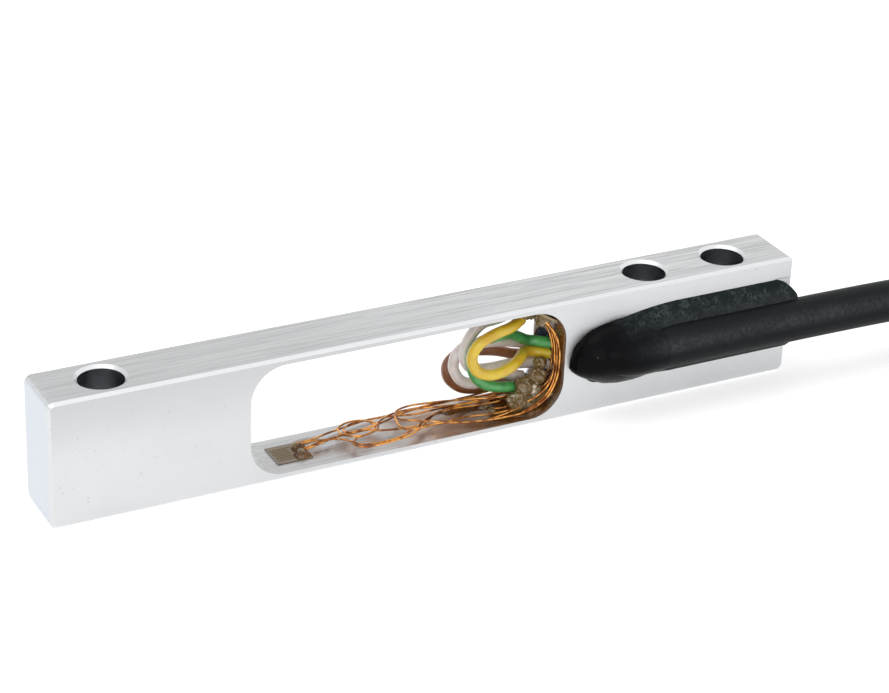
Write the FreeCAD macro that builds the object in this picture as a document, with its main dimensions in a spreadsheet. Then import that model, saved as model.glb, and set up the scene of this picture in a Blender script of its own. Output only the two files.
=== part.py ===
import FreeCAD, Part
import math
import os
import Sketcher

# Single point load cell, 80 x 13 x 6.5 mm, with its four-core cable.
#
# Frame: X runs along the bar towards the cable, Y from the front face (the side with the cable
# groove, at -Y) to the back face, Z up. The origin is the middle of the bar's bottom face.
# All lengths are in millimetres.

doc = FreeCAD.newDocument("single_point_load_cell")
sheet = doc.addObject("Spreadsheet::Sheet", "sizes")

# ------------------------------------------------------------------ driving dimensions
DRIVING = [
    # spring body
    ("bar_length", 80.0),
    ("bar_height", 13.0),
    ("bar_width", 6.5),
    ("corner_radius", 0.7),         # rounding of the four end corners, seen from the side
    ("edge_chamfer", 0.3),          # broken edge round the front and back faces
    ("hole_diameter", 4.4),         # clears an M4 screw
    ("mouth_chamfer", 0.3),
    ("load_hole_inset", 6.3),       # from the free end
    ("fixed_hole_inset", 6.7),      # from the cable end
    ("fixed_hole_pitch", 9.3),
    ("window_setback", 26.55),      # from the cable end
    ("window_length", 33.7),
    ("beam_thickness", 0.7),        # the thin flexing beams above and below the window
    ("window_radius", 3.55),
    # milled groove for the cable, in the front face
    ("groove_length", 25.8),
    ("groove_width", 7.9),
    ("groove_middle", 6.84),
    ("groove_depth", 0.85),
    ("groove_flank_radius", 30.0),
    ("groove_nose_radius", 1.9),
    # slanted slot that takes the cores from the groove into the window
    ("passage_span", 3.9),          # along the bar, where it opens in the front face
    ("passage_height", 4.9),
    ("passage_middle", 5.75),
    ("passage_slant", 1.0),         # run along the bar for each millimetre of depth
    ("passage_mouth", 4.05),        # depth of its middle behind the front face, at the window
    # strain gauges
    ("backing_length", 3.7),
    ("backing_width", 3.3),
    ("backing_thickness", 0.08),
    ("foil_thickness", 0.03),
    ("foil_margin", 0.3),
    ("grid_length", 1.8),
    ("grid_lines", 8),              # an even number, so that both tabs lie at one end
    ("grid_pitch", 0.3),
    ("grid_line", 0.16),
    ("tab_gap", 0.2),
    ("tab_length", 1.2),
    ("tab_width", 1.0),
    ("dot_radius", 0.5),
    ("dot_height", 0.55),
    # terminal boards in the two corners next to the cores
    ("board_length", 3.2),
    ("board_width", 4.6),
    ("board_thickness", 0.25),
    ("board_tilt", 32.0),
    ("board_gap", 0.02),            # under its two long edges
    # lacquer over the gauged end of the window
    ("lacquer_thickness", 0.1),
    ("lacquer_reach", 11.5),        # along the beams from the window's end wall
    ("lacquer_margin", 0.35),       # bare edge at the front and back
    # wires and cores
    ("core_diameter", 1.12),
    ("fine_wire_diameter", 0.2),
    ("core_gap", 0.015),            # between a core and the resin or solder round it
    # cable
    ("cable_diameter", 4.4),
    ("cable_gap", 0.03),            # between the jacket and the resin round it
    ("cable_seat", 0.1),            # resin under the jacket, on the groove's floor
    ("cable_middle", 6.64),         # height of the cable's axis where it leaves the bar
    ("jacket_grip", 18.5),          # length of jacket held in the resin
    ("resin_film", 0.15),           # resin over the cut end of the jacket
    ("resin_sag", 0.75),            # how far the nose has slumped below the groove
    ("resin_corner", 3.0),          # rounding of the resin's upper corner at the bar's end
    ("resin_overrun", 0.4),         # how far that rounding is struck past the bar's end
    ("hank_inset", 26.0),           # from the bar's end to the axis of the put-away loop
    ("hank_length", 66.0),
    ("hank_width", 29.3),
    ("hank_bend", 13.2),
    ("hank_shift", 0.4),
    ("tail_inset", 30.0),           # from the loop's near end to the cut end of the tail
    ("tie_width", 2.6),
    ("tie_thickness", 0.5),
    ("tie_gap", 0.1),
    ("tie_head", 3.4),
    ("tie_inset", 36.0),            # from the loop's near end
    ("tip_length", 3.5),
    ("tip_diameter", 0.6),
]

# ------------------------------------------------------------------ sizes that follow
DERIVED = [
    ("bar_left", "=-bar_length / 2"),
    ("bar_right", "=bar_length / 2"),
    ("bar_bottom", "=0"),
    ("front_face", "=-bar_width / 2"),
    ("back_face", "=bar_width / 2"),
    ("hole_radius", "=hole_diameter / 2"),
    ("load_hole", "=bar_left + load_hole_inset"),
    ("outer_hole", "=bar_right - fixed_hole_inset"),
    ("inner_hole", "=outer_hole - fixed_hole_pitch"),
    ("window_right", "=bar_right - window_setback"),
    ("window_left", "=window_right - window_length"),
    ("window_bottom", "=beam_thickness"),
    ("window_top", "=bar_height - beam_thickness"),
    ("groove_half", "=groove_width / 2"),
    ("groove_low", "=groove_middle - groove_half"),
    ("groove_high", "=groove_middle + groove_half"),
    ("groove_tip", "=bar_right - groove_length"),
    ("groove_runout", "=bar_right + edge_chamfer"),
    ("nose_centre", "=groove_tip + groove_nose_radius"),
    ("front_offset", "=bar_width / 2"),
    ("passage_centre", "=window_right + passage_mouth * passage_slant"),
    ("passage_radius", "=passage_span / 2"),
    ("passage_low", "=passage_middle - passage_height / 2 + passage_radius"),
    ("passage_high", "=passage_middle + passage_height / 2 - passage_radius"),
    ("cable_radius", "=cable_diameter / 2"),
    ("core_radius", "=core_diameter / 2"),
    ("fine_radius", "=fine_wire_diameter / 2"),
    ("cable_axis", "=front_face + groove_depth - cable_seat - cable_radius"),
    ("jacket_end", "=bar_right - jacket_grip"),
    ("rest_height", "=cable_radius + tie_gap + tie_thickness"),
    ("hank_left", "=bar_right + hank_inset"),
    ("tail_end", "=hank_left + tail_inset"),
    ("tie_place", "=hank_left + tie_inset"),
    ("tip_radius", "=tip_diameter / 2"),
]

for row, (alias, content) in enumerate(DRIVING + DERIVED, start=1):
    cell = "B%d" % row
    sheet.set("A%d" % row, alias)
    sheet.set(cell, str(content))
    sheet.setAlias(cell, alias)
doc.recompute()


def size(alias):
    """The value of one named size, in millimetres or degrees."""
    return float(sheet.get(alias))


def vector(x, y, z):
    return FreeCAD.Vector(x, y, z)


# ------------------------------------------------------------------ sketching helpers
def origin_plane(body, role):
    return next(f for f in body.Origin.OriginFeatures if f.Role == role)


def new_sketch(body, name, role):
    sketch = body.newObject("Sketcher::SketchObject", name)
    sketch.AttachmentSupport = [(origin_plane(body, role), "")]
    sketch.MapMode = "FlatFace"
    return sketch


def fix_value(sketch, constraint, alias):
    """Add a dimension to the sketch and tie it to a cell of the sheet."""
    index = sketch.addConstraint(constraint)
    sketch.setExpression("Constraints[%d]" % index, "sizes." + alias)
    return index


def add_rectangle(sketch, left, right, low, high):
    """A rectangle whose four sides lie at named sizes."""
    corners = [(left, low), (right, low), (right, high), (left, high)]
    points = [vector(size(u), size(v), 0) for u, v in corners]
    first = sketch.GeometryCount
    for start, end in zip(points, points[1:] + points[:1]):
        sketch.addGeometry(Part.LineSegment(start, end), False)
    for side in range(4):
        sketch.addConstraint(Sketcher.Constraint(
            "Coincident", first + side, 2, first + (side + 1) % 4, 1))
    sketch.addConstraint(Sketcher.Constraint("Horizontal", first))
    sketch.addConstraint(Sketcher.Constraint("Horizontal", first + 2))
    sketch.addConstraint(Sketcher.Constraint("Vertical", first + 1))
    sketch.addConstraint(Sketcher.Constraint("Vertical", first + 3))
    fix_value(sketch, Sketcher.Constraint("DistanceX", -1, 1, first, 1, size(left)), left)
    fix_value(sketch, Sketcher.Constraint("DistanceX", -1, 1, first + 1, 1, size(right)), right)
    fix_value(sketch, Sketcher.Constraint("DistanceY", -1, 1, first, 1, size(low)), low)
    fix_value(sketch, Sketcher.Constraint("DistanceY", -1, 1, first + 2, 1, size(high)), high)


def add_circle(sketch, radius, centre_x):
    """A circle on the sketch's horizontal axis."""
    circle = Part.Circle(vector(size(centre_x), 0, 0), vector(0, 0, 1), size(radius))
    index = sketch.addGeometry(circle, False)
    sketch.addConstraint(Sketcher.Constraint("PointOnObject", index, 3, -1))
    fix_value(sketch, Sketcher.Constraint("Radius", index, size(radius)), radius)
    fix_value(sketch, Sketcher.Constraint("DistanceX", -1, 1, index, 3, size(centre_x)), centre_x)


def edges_where(feature, accept):
    """Names of the feature's edges that the test accepts."""
    edges = feature.Shape.Edges
    return ["Edge%d" % (i + 1) for i, edge in enumerate(edges) if accept(edge)]


def close(a, b):
    return abs(a - b) < 1e-4


def runs_across(edge):
    """True for a straight edge parallel to Y."""
    direction = edge.Vertexes[-1].Point - edge.Vertexes[0].Point
    return direction.Length > 0.1 and close(abs(direction.y), direction.Length)


# ------------------------------------------------------------------ cable groove outline
def groove_geometry():
    """Centres and tangent points of the groove's pointed arch, in the front face."""
    flank = size("groove_flank_radius")
    nose = size("groove_nose_radius")
    rise = flank - size("groove_half")
    reach = math.sqrt((flank - nose) ** 2 - rise ** 2)
    start = size("nose_centre") + reach
    touch_x = size("nose_centre") - nose * reach / (flank - nose)
    touch_z = nose * rise / (flank - nose)
    return flank, nose, rise, start, touch_x, touch_z


def groove_half_width(x):
    """Half the height of the groove's outline at a place along the bar."""
    flank, nose, rise, start, touch_x, touch_z = groove_geometry()
    if x >= start:
        return size("groove_half")
    if x >= touch_x:
        return math.sqrt(flank ** 2 - (start - x) ** 2) - rise
    return math.sqrt(max(nose ** 2 - (size("nose_centre") - x) ** 2, 0.0))


def arc_through(first, middle, last):
    return Part.Arc(first, middle, last)


def groove_curves(right, place):
    """The outline's six curves, from the upper right corner round the nose and back.

    place(x, z) turns a point of the outline into a vector of the sketch or of space.
    """
    flank, nose, rise, start, touch_x, touch_z = groove_geometry()
    middle = size("groove_middle")
    half = size("groove_half")
    bend_x = (start + touch_x) / 2
    bend_z = groove_half_width(bend_x)
    tip = size("groove_tip")
    upper = [place(right, middle + half), place(start, middle + half),
             place(bend_x, middle + bend_z), place(touch_x, middle + touch_z)]
    lower = [place(right, middle - half), place(start, middle - half),
             place(bend_x, middle - bend_z), place(touch_x, middle - touch_z)]
    return [
        Part.LineSegment(upper[0], upper[1]),
        arc_through(upper[1], upper[2], upper[3]),
        arc_through(upper[3], place(tip, middle), lower[3]),
        arc_through(lower[3], lower[2], lower[1]),
        Part.LineSegment(lower[1], lower[0]),
        Part.LineSegment(lower[0], upper[0]),
    ]


# ------------------------------------------------------------------ spring body
def make_spring_body():
    """The one-piece aluminium bar: pad, window, holes, groove and wire passage."""
    body = doc.addObject("PartDesign::Body", "spring_body")
    body.Label = "spring_body"

    side = new_sketch(body, "side_outline", "XZ_Plane")
    add_rectangle(side, "bar_left", "bar_right", "bar_bottom", "bar_height")
    bar = body.newObject("PartDesign::Pad", "bar")
    bar.Profile = side
    bar.SideType = "Symmetric"
    bar.setExpression("Length", "sizes.bar_width")
    side.Visibility = False
    doc.recompute()

    ends = edges_where(bar, runs_across)
    rounded = body.newObject("PartDesign::Fillet", "rounded_corners")
    rounded.Base = (bar, ends)
    rounded.setExpression("Radius", "sizes.corner_radius")
    doc.recompute()

    rims = edges_where(rounded, lambda edge: all(
        close(abs(v.Point.y), size("back_face")) for v in edge.Vertexes) and not runs_across(edge))
    broken = body.newObject("PartDesign::Chamfer", "broken_edges")
    broken.Base = (rounded, rims)
    broken.setExpression("Size", "sizes.edge_chamfer")
    doc.recompute()

    opening = new_sketch(body, "window_outline", "XZ_Plane")
    add_rectangle(opening, "window_left", "window_right", "window_bottom", "window_top")
    window = body.newObject("PartDesign::Pocket", "window")
    window.Profile = opening
    window.SideType = "Symmetric"
    window.Type = "ThroughAll"
    doc.recompute()

    def window_corner(edge):
        x = edge.Vertexes[0].Point.x
        return runs_across(edge) and (close(x, size("window_left"))
                                      or close(x, size("window_right")))

    corners = body.newObject("PartDesign::Fillet", "window_corners")
    corners.Base = (window, edges_where(window, window_corner))
    corners.setExpression("Radius", "sizes.window_radius")
    doc.recompute()

    circles = new_sketch(body, "hole_circles", "XY_Plane")
    for place in ("load_hole", "inner_hole", "outer_hole"):
        add_circle(circles, "hole_radius", place)
    holes = body.newObject("PartDesign::Pocket", "screw_holes")
    holes.Profile = circles
    holes.SideType = "Symmetric"
    holes.Type = "ThroughAll"
    doc.recompute()

    mouths = body.newObject("PartDesign::Chamfer", "hole_mouths")
    mouths.Base = (holes, edges_where(holes, lambda edge: hasattr(edge.Curve, "Radius")
                                      and close(edge.Curve.Radius, size("hole_radius"))))
    mouths.setExpression("Size", "sizes.mouth_chamfer")
    doc.recompute()

    outline = new_sketch(body, "groove_outline", "XZ_Plane")
    outline.setExpression("AttachmentOffset.Base.z", "sizes.front_offset")
    outline.addGeometry(groove_curves(size("groove_runout"), lambda x, z: vector(x, z, 0)), False)
    for joint in range(6):
        following = (joint + 1) % 6
        kind = "Tangent" if joint < 4 else "Coincident"
        outline.addConstraint(Sketcher.Constraint(
            kind, joint, touching_end(outline, joint, following),
            following, touching_end(outline, following, joint)))
    outline.addConstraint(Sketcher.Constraint("Horizontal", 0))
    outline.addConstraint(Sketcher.Constraint("Horizontal", 4))
    outline.addConstraint(Sketcher.Constraint("Vertical", 5))
    outline.addConstraint(Sketcher.Constraint("Equal", 1, 3))
    for constraint, alias in (
            (Sketcher.Constraint("Radius", 1, size("groove_flank_radius")), "groove_flank_radius"),
            (Sketcher.Constraint("Radius", 2, size("groove_nose_radius")), "groove_nose_radius"),
            (Sketcher.Constraint("DistanceX", -1, 1, 2, 3, size("nose_centre")), "nose_centre"),
            (Sketcher.Constraint("DistanceX", -1, 1, 5, 1, size("groove_runout")), "groove_runout"),
            (Sketcher.Constraint("DistanceY", -1, 1, 0, 1, size("groove_high")), "groove_high"),
            (Sketcher.Constraint("DistanceY", -1, 1, 4, 2, size("groove_low")), "groove_low")):
        fix_value(outline, constraint, alias)
    groove = body.newObject("PartDesign::Pocket", "cable_groove")
    groove.Profile = outline
    groove.setExpression("Length", "sizes.groove_depth")
    doc.recompute()

    slot = new_sketch(body, "passage_outline", "XZ_Plane")
    slot.setExpression("AttachmentOffset.Base.z", "sizes.front_offset")
    add_slot(slot)
    passage = body.newObject("PartDesign::Pocket", "wire_passage")
    passage.Profile = slot
    passage.UseCustomVector = True
    passage.Direction = passage_direction()
    passage.setExpression("Length", "sizes.bar_width")
    doc.recompute()
    return body


def passage_direction():
    """The way the passage runs, from the front face back towards the window."""
    return vector(-size("passage_slant"), 1, 0)


def add_slot(sketch):
    """An upright slot: two half circles joined by straight sides."""
    centre = size("passage_centre")
    radius = size("passage_radius")
    low = size("passage_low")
    high = size("passage_high")
    upright = vector(0, 0, 1)
    sketch.addGeometry([
        Part.ArcOfCircle(Part.Circle(vector(centre, high, 0), upright, radius), 0, math.pi),
        Part.LineSegment(vector(centre - radius, high, 0), vector(centre - radius, low, 0)),
        Part.ArcOfCircle(Part.Circle(vector(centre, low, 0), upright, radius), math.pi, 2 * math.pi),
        Part.LineSegment(vector(centre + radius, low, 0), vector(centre + radius, high, 0)),
    ], False)
    for first, first_end, second, second_end in ((0, 2, 1, 1), (1, 2, 2, 1), (2, 2, 3, 1), (3, 2, 0, 1)):
        sketch.addConstraint(Sketcher.Constraint("Tangent", first, first_end, second, second_end))
    fix_value(sketch, Sketcher.Constraint("Radius", 0, radius), "passage_radius")
    for curve, height, alias in ((0, high, "passage_high"), (2, low, "passage_low")):
        fix_value(sketch, Sketcher.Constraint("DistanceY", -1, 1, curve, 3, height), alias)
    fix_value(sketch, Sketcher.Constraint("DistanceX", -1, 1, 0, 3, centre), "passage_centre")


def touching_end(sketch, index, neighbour):
    """Which end (1 or 2) of a curve lies on the neighbouring curve."""
    curve = sketch.Geometry[index]
    other = sketch.Geometry[neighbour]
    return min((1, 2), key=lambda end: min(
        (curve_end(curve, end) - curve_end(other, far)).Length for far in (1, 2)))


def curve_end(curve, end):
    return curve.StartPoint if end == 1 else curve.EndPoint


# ------------------------------------------------------------------ features from plain shapes
def add_feature(label, shape, placement=None):
    """A document object for a shape that neither sketches nor primitives describe."""
    feature = doc.addObject("Part::Feature", label)
    feature.Label = label
    feature.Shape = shape
    if placement is not None:
        feature.Placement = placement
    return feature


def fuse(shapes):
    return shapes[0].multiFuse(shapes[1:]).removeSplitter() if len(shapes) > 1 else shapes[0]


def tube_path(points):
    """Straight runs joined by tangent arcs, each as large as its two runs allow."""
    places = [vector(*point) for point in points]
    edges = []
    radii = []
    start = places[0]
    for before, corner, after in zip(places, places[1:], places[2:]):
        back = (before - corner).normalize()
        onward = (after - corner).normalize()
        half_turn = (math.pi - back.getAngle(onward)) / 2
        setback = 0.45 * min((before - corner).Length, (after - corner).Length)
        radius = setback / math.tan(half_turn)
        radii.append(radius)
        first = corner + back * setback
        last = corner + onward * setback
        inward = (back + onward).normalize()
        middle = corner + inward * (radius / math.cos(half_turn) - radius)
        edges.append(Part.LineSegment(start, first).toShape())
        edges.append(Part.Arc(first, middle, last).toShape())
        start = last
    edges.append(Part.LineSegment(start, places[-1]).toShape())
    return Part.Wire(edges), radii


def make_tube(points, radius):
    """A round solid swept along the path."""
    path, radii = tube_path(points)
    heading = path.Edges[0].tangentAt(path.Edges[0].FirstParameter)
    section = Part.Wire(Part.makeCircle(radius, vector(*points[0]), heading))
    return path.makePipeShell([section], True, False)


# ------------------------------------------------------------------ strain gauges
def gauge_placements():
    """One gauge at each end of each beam, face up on the lower beam, face down on the upper."""
    flat = size("window_radius") + size("backing_length") / 2
    low = size("window_bottom")
    high = size("window_top")
    left = size("window_left") + flat
    right = size("window_right") - flat
    upright = vector(0, 0, 1)
    along = vector(1, 0, 0)
    return {
        "lower_left": FreeCAD.Placement(vector(left, 0, low), FreeCAD.Rotation(upright, 0)),
        "lower_right": FreeCAD.Placement(vector(right, 0, low), FreeCAD.Rotation(upright, 180)),
        "upper_left": FreeCAD.Placement(vector(left, 0, high), FreeCAD.Rotation(along, 180)),
        "upper_right": FreeCAD.Placement(vector(right, 0, high),
                                         FreeCAD.Rotation(vector(0, 1, 0), 180)),
    }


def foil_layout():
    """Where the grid and tabs lie along the gauge, and half the grid's width."""
    near = -size("backing_length") / 2 + size("foil_margin")
    far = near + size("grid_length")
    tab_start = far + size("tab_gap")
    tab_end = tab_start + size("tab_length")
    edge = (size("grid_pitch") * (size("grid_lines") - 1) + size("grid_line")) / 2
    return near, far, tab_start, tab_end, edge


def make_foil():
    """Grid lines, the turns that join them and two solder tabs."""
    near, far, tab_start, tab_end, edge = foil_layout()
    pitch = size("grid_pitch")
    line = size("grid_line")
    thick = size("foil_thickness")
    base = size("backing_thickness")
    count = int(size("grid_lines"))
    pieces = []
    for index in range(count):
        low = -edge + index * pitch
        end = tab_start if index in (0, count - 1) else far
        pieces.append(Part.makeBox(end - near, line, thick, vector(near, low, base)))
        if index < count - 1:
            turn = near if index % 2 == 0 else far - line
            pieces.append(Part.makeBox(line, pitch + line, thick, vector(turn, low, base)))
    for low in (-edge, edge - size("tab_width")):
        pieces.append(Part.makeBox(tab_end - tab_start, size("tab_width"), thick,
                                   vector(tab_start, low, base)))
    return fuse(pieces)


def dot_centres():
    """The middle of each tab, on the foil."""
    near, far, tab_start, tab_end, edge = foil_layout()
    middle = edge - size("tab_width") / 2
    height = size("backing_thickness") + size("foil_thickness")
    return [vector((tab_start + tab_end) / 2, side * middle, height) for side in (-1, 1)]


def make_dome(centre, radius, height):
    """Half an ellipsoid standing on its flat side."""
    ball = Part.makeSphere(1.0, vector(0, 0, 0), vector(0, 0, 1), 0, 90, 360)
    stretch = FreeCAD.Matrix()
    stretch.scale(radius, radius, height)
    dome = ball.transformGeometry(stretch)
    dome.translate(centre)
    return dome


def make_gauges(wires):
    """Backing, foil and solder dots of each gauge, as separate pieces."""
    made = []
    for name, placement in gauge_placements().items():
        backing = doc.addObject("Part::Box", "gauge_backing_" + name)
        backing.Label = "gauge_backing_" + name
        backing.setExpression("Length", "sizes.backing_length")
        backing.setExpression("Width", "sizes.backing_width")
        backing.setExpression("Height", "sizes.backing_thickness")
        corner = vector(-size("backing_length") / 2, -size("backing_width") / 2, 0)
        backing.Placement = placement.multiply(FreeCAD.Placement(corner, FreeCAD.Rotation()))
        foil = add_feature("gauge_foil_" + name, make_foil(), placement)
        domes = []
        for centre in dot_centres():
            dome = make_dome(centre, size("dot_radius"), size("dot_height"))
            dome.Placement = placement.multiply(dome.Placement)
            domes.append(cut_clear(dome, wires))
        dots = add_feature("gauge_solder_" + name, Part.makeCompound(domes))
        made += [backing, foil, dots]
    return made


# ------------------------------------------------------------------ terminal boards
def board_placement(upper):
    """Frame of a board that leans across the corner by the cores, its face to the window."""
    radius = size("window_radius")
    tilt = math.radians(size("board_tilt"))
    sagitta = radius - math.sqrt(radius ** 2 - (size("board_length") / 2) ** 2)
    reach = radius - sagitta - size("board_gap")
    centre_x = size("window_right") - radius
    x = centre_x + reach * math.sin(tilt)
    down = reach * math.cos(tilt)
    if upper:
        rotation = FreeCAD.Rotation(vector(1, 0, 0), 180)
        z = size("window_top") - radius + down
    else:
        rotation = FreeCAD.Rotation()
        z = size("window_bottom") + radius - down
    lean = size("board_tilt") if upper else -size("board_tilt")
    return FreeCAD.Placement(vector(x, 0, z),
                             FreeCAD.Rotation(vector(0, 1, 0), lean).multiply(rotation))


def make_board(label, upper):
    board = doc.addObject("Part::Box", label)
    board.Label = label
    board.setExpression("Length", "sizes.board_length")
    board.setExpression("Width", "sizes.board_width")
    board.setExpression("Height", "sizes.board_thickness")
    corner = vector(-size("board_length") / 2, -size("board_width") / 2, 0)
    board.Placement = board_placement(upper).multiply(
        FreeCAD.Placement(corner, FreeCAD.Rotation()))
    return board


# Solder lumps on the boards: place along the slope and across the bar, radius and height.
LUMPS = {
    "lower": {"front": (-1.0, -1.4, 0.8, 1.5), "middle": (-0.9, 0.0, 0.85, 1.6),
              "back": (-0.8, 1.45, 0.8, 1.3), "high_front": (0.4, -0.9, 0.85, 2.0),
              "high_back": (0.5, 0.9, 0.85, 1.35)},
    "upper": {"back": (-0.9, -1.3, 0.8, 1.2), "middle": (-0.8, 0.2, 0.85, 1.4),
              "high_back": (0.5, -0.7, 0.8, 1.2), "high_front": (0.5, 1.0, 0.8, 1.1)},
}


def lump_point(board, lump, share, aside=0.0):
    """A point over the middle of a lump, at a share of its height."""
    along, across, radius, height = LUMPS[board][lump]
    raised = vector(along, across + aside, size("board_thickness") + share * height)
    return tuple(board_placement(board == "upper").multVec(raised))


def make_lumps(board, wires):
    """Solder on one board, with room left for the core ends and wires that go into it."""
    domes = []
    for along, across, radius, height in LUMPS[board].values():
        dome = make_dome(vector(along, across, size("board_thickness")), radius, height)
        dome.Placement = board_placement(board == "upper").multiply(dome.Placement)
        domes.append(dome)
    return cut_clear(fuse(domes), wires)


def cut_clear(shape, tools):
    """The shape less every tool that reaches it, as its largest solid."""
    for tool in tools:
        if shape.BoundBox.intersect(tool.BoundBox):
            shape = shape.cut(tool)
    return max(shape.Solids, key=lambda solid: solid.Volume)


# ------------------------------------------------------------------ wires and cores
def bundle_line(up, side):
    """A core's way through the resin, set off from the middle of the bundle.

    The middle runs on from the jacket, turns into the slanted passage and leaves it in the window.
    """
    face = size("front_face")
    slant = size("passage_slant")
    entry = size("passage_centre")
    axis = size("cable_axis")
    middle = size("cable_middle")
    exit_y = face + size("passage_mouth") + 0.55
    line = [vector(size("jacket_end"), axis, middle),
            vector(size("jacket_end") - 1.8, axis, middle),
            vector(entry + 0.1 * slant, face - 0.1, middle - 0.55),
            vector(entry - slant * (exit_y - face), exit_y, size("passage_middle"))]
    headings = [line[1] - line[0], line[1] - line[0], line[3] - line[1], line[3] - line[2]]
    shifted = []
    for point, heading in zip(line, headings):
        sideways = vector(heading.y, -heading.x, 0).normalize()
        shifted.append(tuple(point + sideways * side + vector(0, 0, up)))
    return shifted


# Places in the window are written as three numbers: millimetres back from the wall by the
# cores, or forward from the far wall where the number is negative; millimetres across the bar;
# and height as a percentage of the clear height between the beams.
def in_window(back, across, up):
    clear = size("window_top") - size("window_bottom")
    wall = size("window_left") if back < 0 else size("window_right")
    return (wall - back, across, size("window_bottom") + clear * up / 100)


# Each core: its place in the bundle, its loop in the window and the lump that it ends on.
CORES = {
    "core_yellow": ((0.0, -0.58), [
        (2.25, 1.0, 45.7), (3.75, -0.8, 48.3), (5.45, -1.8, 45.7), (7.45, -2.1, 44.0),
        (9.25, -2.1, 50.0), (10.05, -2.1, 64.7), (9.25, -2.1, 77.6), (7.25, -2.0, 83.6),
        (5.25, -1.5, 83.6)], ("upper", "middle")),
    "core_green": ((1.19, -0.58), [
        (1.95, 1.25, 55.2), (4.25, 0.4, 69.0), (6.65, -0.8, 75.0), (8.55, -0.93, 73.3),
        (9.45, -0.93, 59.5), (8.85, -0.93, 40.5), (7.55, -0.93, 30.2), (6.05, -0.7, 25.0),
        (4.65, -0.4, 21.6)], ("lower", "middle")),
    "core_white": ((-1.19, -0.58), [
        (2.25, 1.2, 33.6), (3.85, 0.7, 37.9), (6.65, 0.25, 39.7), (8.65, 0.25, 42.2),
        (9.65, 0.25, 56.9), (9.05, 0.25, 73.3), (7.65, 0.4, 84.5), (5.45, 0.9, 82.8)], ("upper", "back")),
    "core_clear": ((0.6, 0.58), [
        (2.05, 2.35, 48.3), (4.05, 1.8, 56.0), (6.45, 1.45, 60.3), (8.55, 1.43, 61.2),
        (9.75, 1.43, 54.3), (10.05, 1.43, 42.2), (9.25, 1.43, 28.4), (7.75, 1.3, 21.6),
        (5.15, 1.0, 30.2)], ("lower", "high_back")),
    "core_brown": ((-0.6, 0.58), [
        (2.25, 2.5, 36.2), (4.45, 2.6, 44.0), (6.85, 2.6, 48.3), (8.85, 2.6, 49.1),
        (10.15, 2.6, 40.5), (9.95, 2.6, 26.7), (8.55, 2.6, 14.7), (6.65, 2.6, 10.3),
        (4.85, 2.45, 12.9)], ("lower", "back")),
}


def core_route(name):
    """The whole route of a core, from the jacket's cut end to its solder."""
    (up, side), loop, (board, lump) = CORES[name]
    between = [in_window(*place) for place in loop]
    return bundle_line(up, side) + between + [lump_point(board, lump, 1.1)]


def dot_point(gauge, dot, share):
    """A point over the middle of a gauge's solder dot, at a share of its height."""
    place = gauge_placements()[gauge]
    rise = vector(0, 0, share * size("dot_height"))
    found = [place.multVec(centre + rise) for centre in dot_centres()]
    found.sort(key=lambda point: point.y)
    return tuple(found[0] if dot == "front" else found[-1])


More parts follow.
